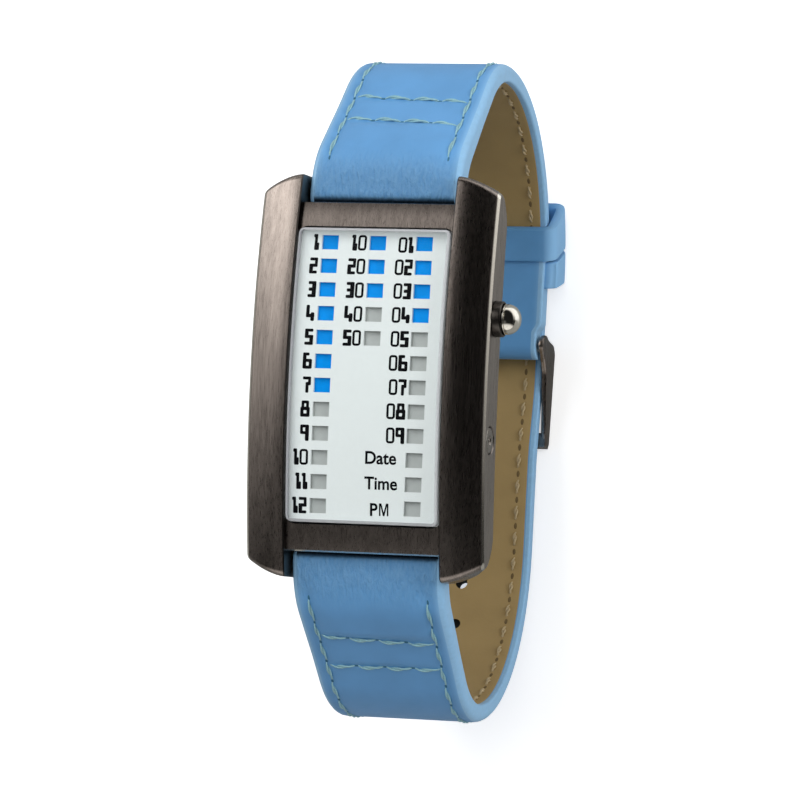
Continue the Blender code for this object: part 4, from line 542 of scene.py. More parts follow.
def tidy_mesh(mesh, sharp):
    """Welds a mesh's seams and poles, turns its faces outwards and marks its sharp edges."""
    work = bmesh.new()
    work.from_mesh(mesh)
    bmesh.ops.remove_doubles(work, verts=work.verts, dist=2e-7)
    bmesh.ops.dissolve_degenerate(work, edges=work.edges, dist=1e-7)
    bmesh.ops.recalc_face_normals(work, faces=work.faces)
    work.to_mesh(mesh)
    work.free()
    mesh.polygons.foreach_set("use_smooth", [True] * len(mesh.polygons))
    mesh.set_sharp_from_angle(angle=math.radians(sharp))


def carve(thing, shells, sharp=34.0):
    """Cuts closed shells out of a piece."""
    cutter = mesh_object("cutter", shells, [thing.data.materials[0]])
    cut = thing.modifiers.new("cut", "BOOLEAN")
    cut.operation, cut.solver, cut.object = "DIFFERENCE", "EXACT", cutter
    bpy.context.view_layer.update()
    done = bpy.data.meshes.new_from_object(thing.evaluated_get(bpy.context.evaluated_depsgraph_get()))
    thing.modifiers.clear()
    old, thing.data = thing.data, done
    bpy.data.meshes.remove(old)
    bpy.data.objects.remove(cutter)
    done.name = thing.name
    done.polygons.foreach_set("use_smooth", [True] * len(done.polygons))
    done.set_sharp_from_angle(angle=math.radians(sharp))


def place(thing, body, slot, *nodes):
    """The piece rides on a body and stands for the CAD nodes named, which it hides. slot is not used."""
    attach(thing, body)
    if nodes:
        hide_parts(*nodes)
    return thing


def droop(y, arc=CASE_ARC):
    """Height lost at y along an arc: R - sqrt(R^2 - y^2)."""
    return arc - np.sqrt(arc * arc - np.square(y))


# Case

def rail_top(x):
    """Height of a rail's crown across it: small chamfer, parabola to the outer edge, wide chamfer."""
    across = (x - LUG_HALF) / RAIL_WIDTH
    fall = CROWN_FALL * np.square(np.clip((across - CROWN_START) / (CROWN_END - CROWN_START), 0.0, 1.0))
    fall += INNER_FALL * np.clip(1 - across / INNER_CHAMFER, 0.0, 1.0)
    fall += OUTER_FALL * np.clip((across - CROWN_END) / (1 - CROWN_END), 0.0, 1.0)
    return RAIL_CREST - RAIL_DROP * fall


def rail_section():
    """Points round a rail's section: x, the share of its height, and the material of each face."""
    crown = np.linspace(CROWN_START, CROWN_END, CROWN_COLUMNS)
    before, after = (INNER_CHAMFER + CROWN_START) / 2, (CROWN_END + 1) / 2
    over = LUG_HALF + RAIL_WIDTH * np.concatenate(((0.0, INNER_CHAMFER, before), crown, (after, 1.0)))
    walls = np.linspace(1.0, 0.0, WALL_COLUMNS + 2)[1:-1]
    ease = 0.5 - 0.5 * np.cos(walls * math.pi)
    x = np.concatenate((over, np.full(WALL_COLUMNS, RAIL_OUTER), over[::-1], np.full(WALL_COLUMNS, LUG_HALF)))
    share = np.concatenate((np.ones(len(over)), ease, np.zeros(len(over)), ease[::-1]))
    paint = np.zeros(len(x), int)
    # the inner chamfer and the inner wall take the darker metal as painted shade
    paint[:1] = 2
    paint[-WALL_COLUMNS - 1:] = 2
    paint[len(over) - 3:len(over) - 1] = 1
    return x, share, paint


def rail(side):
    """A side rail: its section is carried along y, each point to its own end, so the ends bow outwards.

    The last rows follow a quarter round, y = end - r(1 - sin a), sunk by r(1 - cos a), and close the end.
    """
    x, share, paint = rail_section()
    across = (x - LUG_HALF) / RAIL_WIDTH
    end = CASE_LENGTH / 2 - END_SETBACK * across ** END_POWER
    turn = np.linspace(0.0, QUARTER, ROWS_ROUND + 1)[1:]
    close = np.linspace(0.0, 1.0, ROWS_SHUT + 1)[1:]
    along = np.sin(np.linspace(-QUARTER, QUARTER, ROWS_ALONG) * ROW_SPREAD) / math.sin(QUARTER * ROW_SPREAD)
    past = np.ones(ROWS_ROUND + ROWS_SHUT)
    t = np.concatenate((-past, along, past))
    round_end = np.concatenate((turn, np.full(ROWS_SHUT, QUARTER)))
    shut_end = np.concatenate((np.zeros(ROWS_ROUND), close))
    tuck, shut = (np.concatenate((end_rows[::-1], np.zeros(ROWS_ALONG), end_rows))[:, None]
                  for end_rows in (round_end, shut_end))
    sink = END_ROUND * (1 - np.cos(tuck))
    y = np.sign(t)[:, None] * (np.abs(t)[:, None] * (end - END_ROUND) + END_ROUND * np.sin(tuck))
    high = rail_top(x) - droop(y) - sink
    near_end = np.clip(1.0 - (end - np.abs(y)) / HEEL_LENGTH, 0.0, None)
    foot = RAIL_FOOT * np.clip((x - (RAIL_OUTER - FOOT_INSET)) / FOOT_INSET, 0.0, 1.0)
    flank_top = RAIL_CREST - RAIL_DROP * (CROWN_FALL + OUTER_FALL)
    low = flank_top - FLANK_HEIGHT - RAIL_FOOT + foot + RAIL_HEEL * near_end ** 2
    low = low - droop(y, BELLY_ARC) + 0.5 * sink
    hollow = (x < CAVITY_HALF) & (np.abs(y) < CAVITY_END)
    low = np.where(hollow, CAVITY_TOP, low)
    tall = 0.5 + (share - 0.5) * (1 - shut)
    z = low + tall * (high - low)
    middle = LUG_HALF + RAIL_WIDTH / 2
    squeeze = 1 - END_SQUEEZE * sink / RAIL_WIDTH
    wide = side * (middle + (x - middle) * squeeze)
    return shell(np.stack(np.broadcast_arrays(wide, y, z), axis=-1), paint=paint)


def bezel_bar(end):
    """The bar between crystal and strap: a profile in y and z carried across the case.

    Its inner edge follows the crystal pocket's round corners: y = end - (r - sqrt(r^2 - d^2)).
    """
    x = np.concatenate(((-BEZEL_HALF,), LUG_HALF * np.sin(np.linspace(-QUARTER, QUARTER, 61)), (BEZEL_HALF,)))
    into = np.clip(np.abs(x) - (LUG_HALF - POCKET_CORNER), 0.0, POCKET_CORNER * 0.999)
    inner = POCKET_END - (POCKET_CORNER - np.sqrt(POCKET_CORNER ** 2 - into ** 2))
    inner = inner[:, None]
    outer = BODY_END + (BEZEL_REACH if end < 0 else 0.0)
    strip = outer - (BEZEL_STRIP if end < 0 else 0.1)
    lip = BEZEL_LEVEL - BEZEL_ROLL - droop(strip) - BEZEL_FALL
    top = np.linspace(0.0, 1.0, BEZEL_COLUMNS)[None, :]
    y_top = inner + BEZEL_GAP + (strip - inner - BEZEL_GAP) * top
    z_top = BEZEL_LEVEL - droop(y_top) - BEZEL_ROLL * top ** 3
    ones = np.ones_like(inner)
    cap = np.linspace(0.0, 1.0, LIP_COLUMNS + 1)[None, 1:]
    y_lip = ones * (strip + (outer - strip) * cap)
    z_lip = ones * (lip + BEZEL_FALL * (1 - cap))
    under = lip - VISOR
    fixed = np.array(((outer, under + 0.08), (outer - 0.08, under), (BODY_WALL + 0.1, under - 0.55),
                      (BODY_WALL, under - 0.7), (BODY_WALL, BAR_FOOT), (CAVITY_END, BAR_FOOT),
                      (CAVITY_END, CAVITY_TOP)))
    y = np.hstack((inner, y_top, y_lip, ones * fixed[:, 0], inner))
    z = np.hstack((z_top[:, :1] - BEZEL_GAP, z_top, z_lip, ones * fixed[:, 1], ones * -SHELF_LEVEL))
    points = np.stack(np.broadcast_arrays(x[:, None], end * y, z), axis=-1)
    # faces other than the top, and the 12 o'clock lip, take the darker metal as painted shade
    paint = np.full(points.shape[1], 2)
    paint[1:BEZEL_COLUMNS] = 0
    if end < 0:
        paint[BEZEL_COLUMNS:BEZEL_COLUMNS + LIP_COLUMNS] = 1
    return shell(points, paint=paint)


def tub():
    """The lower body: a rounded rectangular wall with a small chamfer, open where the case back goes."""
    outer, length = 2 * TUB_HALF, 2 * BODY_WALL - 0.2
    foot = -TUB_BOTTOM
    sizes = ((0.0, TUB_TOP), (0.0, foot + TUB_CHAMFER), (0.08, foot + 0.08), (TUB_CHAMFER, foot))
    rings = [at_height(rect_loop(outer - 2 * i, length - 2 * i, TUB_CORNER - i), z) for i, z in sizes]
    cavity = rect_loop(2 * CAVITY_HALF, 2 * CAVITY_END, CAVITY_CORNER)
    inner = [at_height(cavity, z) for z in (-TUB_BOTTOM, TUB_TOP)]
    return shell(np.stack(rings + inner), closed=True)


def case_pieces():
    """The rails, the bezel bars and the tub, bored for the buttons and the spring bar tips."""
    materials = [GUNMETAL, POLISHED_EDGE, DARK_METAL_AND_SHADE]
    tips = [lathe([(s * 9.0, TIP_BORE), (s * 10.55, TIP_BORE)], (0.0, e * BAR_Y, BAR_Z), sides=24)
            for s in (-1, 1) for e in (-1, 1)]
    for side, name in ((-1, "rail_left"), (1, "rail_right")):
        thing = mesh_object(name, [rail(side)], materials)
        cuts = tips[:2] if side < 0 else tips[2:]
        if side > 0:
            cuts = cuts + [lathe(PUSHER_BORE, (0, PUSHER_Y, BUTTON_Z)),
                           lathe(CORRECTOR_BORE, (0, CORRECTOR_Y, BUTTON_Z))]
        carve(thing, cuts)
        place(thing, "case", "gunmetal", "case")
    upper_bar = mesh_object("bezel_bar_12", [bezel_bar(1)], materials)
    # painted shade: the 12 o'clock bar darkens towards the strap
    mark(upper_bar, "shade", lambda x, y, z: 0.14 + 0.50 * ramp(y, POCKET_END + 0.8, BODY_END))
    place(upper_bar, "case", "gunmetal", "case")
    place(mesh_object("bezel_bar_6", [bezel_bar(-1)], materials), "case", "gunmetal", "case")
    place(mesh_object("case_tub", [tub()], materials), "case", "gunmetal", "case")


def case_back():
    """A flat plate with a soft edge and a hole for each screw."""
    sizes = ((0.1, -8.3), (0.0, -8.4), (0.0, -9.0), (0.06, -9.14), (0.2, -9.2))
    width, length = BACK_SIZE
    rings = [at_height(rect_loop(width - 2 * i, length - 2 * i, BACK_CORNER - i), z) for i, z in sizes]
    plate = mesh_object("case_back_plate", [shell(np.stack(rings))], [GUNMETAL])
    x, y = SCREW_PLACE
    carve(plate, [lathe(SCREW_BORE, (sx * x, sy * y, 0.0), "Z", 32) for sx in (-1, 1) for sy in (-1, 1)])
    place(plate, "case", "gunmetal", "case_back")


# Crystal, dial and print

def crystal():
    """Bowed glass with a polished bevel: rectangular loops from the middle out, down the edge and back."""
    width, length = CRYSTAL_SIZE
    bevel = CRYSTAL_BEVEL
    top, bottom = CRYSTAL_CREST, CRYSTAL_CREST - CRYSTAL_THICKNESS
    face, edge, back = (rect_loop(width - 2 * inset, length - 2 * inset, CRYSTAL_CORNER - inset)
                        for inset in (bevel, 0.0, CRYSTAL_UNDERCUT))
    shares = (0.02, 0.25, 0.5, 0.75, 0.9)
    loops = [(face * share, top) for share in shares + (1.0,)]
    loops += [(edge, top - bevel), (edge, bottom + CRYSTAL_UNDERCUT), (back, bottom)]
    loops += [(back * share, bottom) for share in shares[::-1]]
    rings = np.stack([at_height(loop, z - droop(loop[:, 1])) for loop, z in loops])
    points, faces, _ = shell(rings)
    columns = rings.shape[1]
    # the bevel and the edge take the pale glass, a painted highlight
    paint = [1 if 5 * columns <= k < 8 * columns else 0 for k in range(len(faces))]
    thing = mesh_object("crystal_glass", [(points, faces, paint)], [GLASS, BEVEL_HIGHLIGHT_GLASS], 20.0)
    place(thing, "case", "crystal_glass", "crystal")


def window_rows(column):
    """Heights along Y of a column's windows."""
    return FIRST_ROW - ROW_PITCH * np.arange(COLUMN_ROWS[column])


def column_bow(x, y):
    """How far the columns bow to the right at y: b (1 - (y / first row)^2), b read between the columns."""
    return np.interp(x, COLUMNS, COLUMN_BOW) * (1 - np.square(y / FIRST_ROW))


def pierced_dial():
    """The dial plate: a grid of cells with the windows' cells left out.

    A wall closes every edge between a kept cell and a missing one. Heights follow the case's arc.
    """
    width, length = CRYSTAL_SIZE
    half_x, half_y = np.array(WINDOW) / 2
    rows = FIRST_ROW - ROW_PITCH * np.arange(12)
    corner = np.linspace(0.0, 1.0, 7)
    corner_y = length / 2 - CRYSTAL_CORNER * (1 - np.sin(corner * QUARTER))
    y = np.unique(np.round(np.concatenate((rows - half_y, rows + half_y, corner_y, -corner_y)), 5))
    columns = np.array(COLUMNS)
    x = np.unique(np.round(np.concatenate((columns - half_x, columns + half_x, (-width / 2, width / 2))), 5))
    mid_x, mid_y = (x[1:] + x[:-1]) / 2, (y[1:] + y[:-1]) / 2
    keep = np.ones((len(mid_y), len(mid_x)), bool)
    for column, centre in enumerate(COLUMNS):
        in_x = np.abs(mid_x - centre) < half_x
        in_y = (np.abs(mid_y[:, None] - window_rows(column)) < half_y).any(axis=1)
        keep &= ~(in_y[:, None] & in_x)
    into = np.clip(np.abs(y) - (length / 2 - CRYSTAL_CORNER), 0.0, CRYSTAL_CORNER)
    edge = width / 2 - CRYSTAL_CORNER + np.sqrt(np.maximum(CRYSTAL_CORNER ** 2 - into ** 2, 0.0))
    grid_x, grid_y = np.meshgrid(x, y)
    grid_x = grid_x + np.where(np.abs(grid_x) < width / 2 - 0.01, column_bow(grid_x, grid_y), 0.0)
    grid_x = np.clip(grid_x, -edge[:, None], edge[:, None])
    height = DIAL_TOP - droop(grid_y)
    top = np.stack((grid_x, grid_y, height), axis=-1).reshape(-1, 3)
    points = np.vstack((top, top - (0.0, 0.0, DIAL_THICKNESS)))
    cells = grid_faces(len(y), len(x))[keep.reshape(-1)]
    faces = np.vstack((cells, cells[:, ::-1] + len(top)))
    edges = np.stack((cells, np.roll(cells, -1, axis=1)), axis=-1).reshape(-1, 2)
    names, counts = np.unique(np.sort(edges, axis=1), axis=0, return_counts=True)
    rim = names[counts == 1]
    walls = np.column_stack((rim, rim[:, ::-1] + len(top)))
    faces = np.vstack((faces, walls)).tolist()
    thing = mesh_object("dial_plate", [(points, faces, [0] * len(faces))], [WHITE_DIAL], 20.0)
    place(thing, "case", "white_dial", "dial")


def lit_windows():
    """A thin plate of lit film behind each window that is on."""
    shells = []
    for column, x in enumerate(COLUMNS):
        for y in window_rows(column)[: COLUMN_LIT[column]]:
            loop = rect_loop(WINDOW[0] + 0.3, WINDOW[1] + 0.3, 0.1, 3, 1) + (x + column_bow(x, y), y)
            z = FILM_TOP - droop(loop[:, 1])
            shells.append(shell(np.stack((at_height(loop, z - 0.02), at_height(loop, z + 0.08)))))
    place(mesh_object("lit_windows", shells, [LIT_FILM]), "case", "milky_film")


# Strokes of each numeral: left, bottom, right, top, corner; a sixth number is the wall of a hollow box
NUMERALS = {
    "0": (9.0, ((0, 0.2, 9, 15.4, 3.0, 2.1),)),
    "1": (5.8, ((1.2, 0, 4.0, 15.6, 0.9), (0, 12.6, 3.6, 15.6, 1.2), (1.2, 0, 6.0, 7.0, 1.0))),
    "2": (8.6, ((0.3, 13.0, 8.6, 15.6, 1.0), (5.8, 6.8, 8.6, 15.6, 0.9), (0, 6.6, 8.6, 9.4, 0.9),
                (0, 0, 3.7, 9.4, 0.9), (0, 0, 8.3, 2.5, 1.0))),
    "3": (8.6, ((0.3, 12.9, 8.6, 15.6, 1.0), (0.8, 6.3, 8.6, 9.2, 0.9), (0, 0, 8.6, 2.7, 1.0),
                (4.4, 0, 8.6, 15.6, 1.2))),
    "4": (9.0, ((0, 3.6, 3.4, 15.6, 1.1), (0, 3.6, 9.0, 6.6, 1.0), (5.1, 0, 8.8, 8.2, 1.3))),
    "5": (9.0, ((0, 13.0, 8.8, 15.6, 0.9), (0, 6.8, 3.7, 15.6, 1.1), (0, 6.6, 9.0, 9.4, 0.9),
                (5.3, 0, 9.0, 9.4, 1.1), (0, 0, 9.0, 2.6, 1.0))),
    "6": (9.8, ((0, 0, 3.5, 15.6, 1.3), (0, 13.0, 6.8, 15.6, 1.1), (0, 0, 9.8, 9.4, 1.5, 2.9))),
    "7": (8.6, ((0, 13.0, 8.6, 15.6, 0.9), (5.8, 9.0, 8.6, 15.6, 0.9), (3.4, 7.4, 8.6, 10.2, 1.1),
                (3.2, 0, 6.1, 10.0, 0.9))),
    "8": (10.0, ((1.1, 7.0, 8.9, 15.6, 1.2, 2.6), (0, 0, 10.0, 9.4, 1.2, 3.1))),
    "9": (9.4, ((0, 6.6, 9.4, 15.6, 1.4, 2.7), (5.6, 0, 9.4, 15.6, 1.2))),
}
NUMERAL_UNIT = 0.1195
NUMERAL_NARROW = 0.93
NUMERAL_BOLD = 0.18
NUMERAL_GAP = (0.36, 0.36, 0.29)
PRINT_THICKNESS = 0.015
WORD_HEIGHT = 1.46
WORD_BOLD = 0.022


def printed(loop, lift):
    """A flat outline laid on the dial as two rings, just sunk in it and just above it."""
    z = DIAL_TOP - droop(loop[:, 1]) + lift
    return at_height(loop, z - PRINT_THICKNESS), at_height(loop, z + PRINT_THICKNESS)


def stroke_shell(stroke, x, y, lift):
    """One stroke of a numeral at x, y: a rounded block, or a hollow box of four walls, raised by its lift."""
    grown = np.array(stroke[:5]) + np.array((-1, -1, 1, 1, 0)) * NUMERAL_BOLD
    left, bottom, right, top, corner = grown * NUMERAL_UNIT * (NUMERAL_NARROW, 1, NUMERAL_NARROW, 1, 1)
    middle = np.array((x + (left + right) / 2, y + (bottom + top) / 2))
    loop = rect_loop(right - left, top - bottom, corner, 5, 1)
    low, high = printed(loop + middle, lift)
    if len(stroke) == 5:
        return shell(np.stack((low, high)))
    wall = (stroke[5] + NUMERAL_BOLD) * NUMERAL_UNIT
    hole = rect_loop(right - left - 2 * wall, top - bottom - 2 * wall, max(corner - wall, 0.08), 5, 1)
    hole_low, hole_high = printed(hole + middle, lift)
    return shell(np.stack((low, high, hole_high, hole_low)), closed=True)


def number_shells(text, right, middle):
    """A number whose last digit ends at right, its height centred on middle."""
    shells, x = [], right
    for digit in reversed(text):
        width, strokes = NUMERALS[digit]
        x -= width * NUMERAL_UNIT * NUMERAL_NARROW
        for k, stroke in enumerate(strokes):
            shells.append(stroke_shell(stroke, x, middle - 7.8 * NUMERAL_UNIT, 0.005 * k))
        x -= 1.25 * NUMERAL_UNIT
    return shells


def dial_numbers():
    """Hours down the left column, tens of minutes in the middle, single minutes on the right."""
    hours, tens, minutes = range(1, 13), range(10, 60, 10), range(1, 10)
    texts = ([str(n) for n in hours], [str(n) for n in tens], [f"0{n}" for n in minutes])
    shells = []
    for column, words in enumerate(texts):
        for text, y in zip(words, window_rows(column)):
            right = COLUMNS[column] + column_bow(COLUMNS[column], y) - WINDOW[0] / 2 - NUMERAL_GAP[column]
            shells += number_shells(text, right, y - (0.16 if text == "01" else 0.0))
    place(mesh_object("dial_numbers", shells, [BLACK_PRINT]), "case", "white_dial")


def dial_word(text, left, right, middle, height):
    """A word in a plain sans face, made a mesh, fitted between left and right and laid on the dial."""
    letters = bpy.data.curves.new(text, "FONT")
    letters.body = text
    letters.extrude = PRINT_THICKNESS
    letters.offset = WORD_BOLD
    letters.resolution_u = 6
    shape = bpy.data.objects.new(text, letters)
    bpy.context.scene.collection.objects.link(shape)
    bpy.context.view_layer.update()
    mesh = bpy.data.meshes.new_from_object(shape.evaluated_get(bpy.context.evaluated_depsgraph_get()))
    bpy.data.objects.remove(shape)
    points = np.empty(len(mesh.vertices) * 3)
    mesh.vertices.foreach_get("co", points)
    points = points.reshape(-1, 3)
    low, high = points.min(axis=0), points.max(axis=0)
    points[:, 0] = left + (points[:, 0] - low[0]) * (right - left) / (high[0] - low[0])
    points[:, 1] = middle - height / 2 + points[:, 1] * height / high[1]
    points[:, 2] += DIAL_TOP - droop(points[:, 1])
    mesh.vertices.foreach_set("co", ((points + SHIFT) * MM).reshape(-1))
    mesh.materials.clear()
    mesh.materials.append(BLACK_PRINT)
    word = bpy.data.objects.new(f"word_{text.lower()}", mesh)
    bpy.context.scene.collection.objects.link(word)
    place(word, "case", "white_dial")


def letter_m(left, right, middle, height):
    """The M of PM: two legs and a V that stands on the line, laid on the dial as one outline."""
    half = ((0.0, 0.0), (0.0, 1.0), (0.25, 1.0), (0.5, 0.28))
    inner = ((0.16, 0.0), (0.16, 0.80), (0.42, 0.0))
    mirrored = [(1 - x, y) for x, y in half[2::-1]] + [(1 - x, y) for x, y in inner]
    outline = np.array(half + tuple(mirrored) + inner[::-1])
    outline = outline * (right - left, height) + (left, middle - height / 2)
    letter = mesh_object("letter_m", [shell(np.stack(printed(outline, 0.0)))], [BLACK_PRINT])
    place(letter, "case", "white_dial")


# Buttons

def arc_profile(points):
    """A profile whose inner corners are rounded off a little, kept open at its ends."""
    points = np.asarray(points, float)
    sides = np.linalg.norm(np.diff(points, axis=0), axis=1)
    reach = np.minimum(PROFILE_ROUND, np.minimum(sides[:-1], sides[1:]) * 0.4)
    middle = points[1:-1]
    before = (points[:-2] - middle) / sides[:-1, None] * reach[:, None]
    after = (points[2:] - middle) / sides[1:, None] * reach[:, None]
    t = np.linspace(0.0, 1.0, PROFILE_STEPS)[None, :, None]
    curve = middle[:, None] + (1 - t) ** 2 * before[:, None] + t ** 2 * after[:, None]
    return np.vstack((points[:1], curve.reshape(-1, 2), points[-1:]))


def pusher():
    """The pusher's collar and its polished domed cap on a stem."""
    tube = [(11.6, 0.65), (11.6, 1.3), (13.45, 1.3), (13.45, 2.02), (14.52, 2.02), (14.54, 2.1), (15.42, 2.1),
            (15.56, 1.98), (15.56, 1.9), (15.46, 1.85), (13.9, 1.85), (13.9, 0.65)]
    collar = lathe(arc_profile(tube + tube[:1])[:-1], (0, PUSHER_Y, BUTTON_Z), closed=True)
    place(mesh_object("pusher_collar", [collar], [DARK_METAL_AND_SHADE]), "case", "gunmetal", "pusher_tube")
    turn = np.linspace(0.0, QUARTER, 18)
    dome = np.column_stack((15.98 + 1.57 * np.sin(turn), 1.79 * np.cos(turn) ** 0.95))
    stem = [(STEM_END, 0.0), (STEM_END, 0.6), (14.6, 0.6), (14.62, 1.62), (15.68, 1.62), (15.7, 1.81),
            (15.86, 1.81), (15.88, 1.64), (15.96, 1.64)]
    profile = np.vstack((arc_profile(stem), dome[:-1], ((17.55, 0.0),)))
    cap = lathe(profile, (0, PUSHER_Y, BUTTON_Z))
    place(mesh_object("pusher_dome", [cap], [POLISHED_CAP]), "pusher", "steel", "pusher_cap")


def corrector():
    """The sunk corrector button: a flat head with a soft edge on its stem."""
    head = [(STEM_END, 0.0), (STEM_END, 0.6), (13.65, 0.6), (13.65, 1.2), (14.12, 1.2), (14.12, 1.55),
            (14.36, 1.55), (14.47, 1.40), (14.47, 0.64), (14.3, 0.52), (14.3, 0.26), (14.46, 0.14),
            (14.48, 0.0)]
    button = lathe(arc_profile(head), (0, CORRECTOR_Y, BUTTON_Z))
    place(mesh_object("corrector_head", [button], [SATIN_STEEL]), "corrector", "steel", "corrector_button")


# Strap

STRAP_MATERIALS = [BLUE_LEATHER, EDGE_PAINT_AND_HIGHLIGHT, PUNCHED]
START_FALL = math.radians(8.0)


def chained(legs):
    """Start, heading and curvature of each (length, turn) leg, one after another from the spring bar."""
    length = np.array([leg[0] for leg in legs])
    turn = np.array([leg[1] for leg in legs])
    heading = np.concatenate(((0.0,), np.cumsum(turn)[:-1])) - START_FALL
    chord = length * np.sinc(turn / 2 / math.pi)
    step = chord[:, None] * np.stack((np.cos(heading + turn / 2), np.sin(heading + turn / 2)), axis=-1)
    start = np.array((BAR_Y, BAR_Z)) + np.vstack(((0.0, 0.0), np.cumsum(step, axis=0)[:-1]))
    run = np.concatenate(((0.0,), np.cumsum(length)))
    return {"run": run, "start": start, "heading": heading, "curve": turn / length, "length": run[-1]}


def follow(path, side, s):
    """Point, outward normal and heading at distances s along a strap: each leg is a chord of its arc.

    From a leg's start the point moves d sinc(kd/2) in the direction heading + kd/2, k its curvature.
    """
    s = np.asarray(s, float)
    leg = np.clip(np.searchsorted(path["run"], s, side="right") - 1, 0, len(path["heading"]) - 1)
    d = s - path["run"][leg]
    bend = path["curve"][leg] * d / 2
    angle = path["heading"][leg] + bend
    move = (d * np.sinc(bend / math.pi))[..., None]
    point = path["start"][leg] + move * np.stack((np.cos(angle), np.sin(angle)), axis=-1)
    now = angle + bend
    flip = np.array((side, 1.0))
    normal = np.stack((-np.sin(now), np.cos(now)), axis=-1)
    return point * flip, normal * flip, np.stack((np.cos(now), np.sin(now)), axis=-1) * flip


def on_strap(path, side, s, x, height):
    """Space points for a distance along the strap, a place across it and a height over its middle layer."""
    point, normal, _ = follow(path, side, s)
    spot = point + normal * np.asarray(height)[..., None]
    return np.concatenate((np.asarray(x)[..., None] + 0 * spot[..., :1], spot), axis=-1)


KNEE_TURN = math.radians(39.0)
FRONT_TURN = math.radians(43.0)
FRONT_LEGS = [(1.0, 0.0), (8.0 * KNEE_TURN, -KNEE_TURN), (11.8, 0.0), (13.0 * FRONT_TURN, -FRONT_TURN)]
FOLD_FLAT = 10.9 - FOLD_RADIUS
PATH_12 = chained(FRONT_LEGS + [(BACK_RADIUS * QUARTER, -QUARTER), (FOLD_FLAT, 0.0)])
DIVE_START = np.array((1.14 - (PIVOT[0] - BUCKLE_LENGTH), BACK_CENTRE[1] - BACK_RADIUS - 0.872))
TAIL_RADIUS = BACK_RADIUS + STRAP_THICKNESS / 2 + 0.3 + TAIL_THICKNESS / 2
BEND_RADIUS = 14.0


def tail_legs():
    """The 6 o'clock strap behind the wrist: arc, slant, dive under the folded end, flat run and tail arc."""
    centre_y, centre_z = BACK_CENTRE
    offset = DIVE_START - (centre_y, centre_z)
    reach = math.hypot(*offset)
    turned = -math.atan2(offset[1], offset[0]) - math.acos(BACK_RADIUS / reach)
    dip = QUARTER - turned
    dive = dip + math.radians(4.5)
    bend = BEND_RADIUS * (2 * math.cos(dive) - math.cos(dip) - 1)
    down = (DIVE_START[1] - (centre_z - TAIL_RADIUS) + bend) / math.sin(dive)
    across = BEND_RADIUS * (2 * math.sin(dive) - math.sin(dip)) + down * math.cos(dive)
    flat = DIVE_START[0] - across + centre_y
    tail = math.radians(31.0)
    return [
        (BACK_RADIUS * turned, -turned),
        (math.sqrt(reach ** 2 - BACK_RADIUS ** 2), 0.0),
        (BEND_RADIUS * (dive - dip), dive - dip),
        (down, 0.0),
        (BEND_RADIUS * dive, -dive),
        (flat, 0.0),
        (TAIL_RADIUS * tail, -tail),
    ]


PATH_6 = chained(FRONT_LEGS + tail_legs())
TAIL_START = PATH_6["run"][-3]
THIN_START = PATH_6["run"][-5]
NARROW_START = PATH_12["length"] - 1.9
FOLD_START = PATH_12["length"] - FOLD_FLAT - BACK_RADIUS * math.radians(4.6)


def ramp(value, low, high):
    """A smooth step from 0 at low to 1 at high."""
    t = np.clip((value - low) / (high - low), 0.0, 1.0)
    return t * t * (3 - 2 * t)


def thickness(s):
    """Thick over the padding at the lugs and even beyond it."""
    return LUG_THICKNESS + (STRAP_THICKNESS - LUG_THICKNESS) * np.clip(s / PADDING, 0.0, 1.0)


def thickness_6(s):
    """Pared down where it dives under the folded end."""
    share = np.clip((s - THIN_START) / (TAIL_START - THIN_START), 0.0, 1.0)
    return thickness(s) + (TAIL_THICKNESS - STRAP_THICKNESS) * share


def half_12(s):
    """Half width of the 12 o'clock strap: an even taper, then narrower between the buckle's arms."""
    taper = STRAP_LUG_HALF + (BUCKLE_STRAP_HALF - STRAP_LUG_HALF) * np.clip(s / PATH_12["length"], 0.0, 1.0)
    return taper + (BACK_HALF - taper) * np.clip(1 + (s - NARROW_START) / 0.9, 0.0, 1.0)


def half_6(s):
    """Half width of the 6 o'clock strap: an even taper and a rounded tip."""
    taper = STRAP_LUG_HALF + (BACK_HALF - STRAP_LUG_HALF) * np.clip(s / PATH_12["length"], 0.0, 1.0)
    tip = np.clip((s - (PATH_6["length"] - TIP_LENGTH)) / TIP_LENGTH, 0.0, 1.0)
    return taper * (0.6 + 0.4 * np.sqrt(1 - tip * tip))


def soft_section():
    """A box section with round corners: share across, corner cosine, share of height and corner sine."""
    across, corner, wall = SECTION_ACROSS, SECTION_CORNER, SECTION_WALL
    turn = np.linspace(0.0, QUARTER, corner)
    wide = np.linspace(-1.0, 1.0, across)
    rise = np.linspace(0.0, 1.0, wall + 2)[1:-1]
    one, nought = np.ones, np.zeros
    side = one(corner + wall + corner)
    share = np.concatenate((wide, side, wide[::-1], -side))
    cosine = np.concatenate((nought(across), np.sin(turn), one(wall), np.cos(turn)))
    cosine = np.concatenate((cosine, -cosine))
    height = np.concatenate((nought(across + corner), rise, one(corner)))
    height = np.concatenate((height, 1 - height))
    sine = np.concatenate((-one(across), -np.cos(turn), nought(wall), np.sin(turn)))
    sine = np.concatenate((sine, -sine))
    return share, cosine, height, sine


def padding(s, x, half, rows):
    """Rise of the padding at s and x: a low pillow pulled down at its rows, and a channel for the thread.

    The pillow is 1 - |x / inner half|^4 across. Each row and channel is pressed in by a Gaussian.
    """
    high, low = PILLOW_RISE
    first, second = rows
    pillow = high * (1 - ramp(s, first - 1.5, first + 0.6)) + low * (1 - ramp(s, second - 1.0, second + 0.5))
    pillow = pillow * ramp(s, 0.0, 4.0)
    for row in rows:
        pillow = pillow - ROW_PRESS * np.exp(-np.square((s - row) / ROW_WIDTH))
    inner = np.maximum(half - STITCH_EDGE, 1.0)
    crown = 1 - np.clip(np.abs(x) / inner, 0.0, 1.0) ** 4
    channel = np.exp(-np.square((np.abs(x) - inner) / CHANNEL_WIDTH)) * ramp(s, 2.6, 3.6)
    return pillow * crown - CHANNEL_PRESS * channel


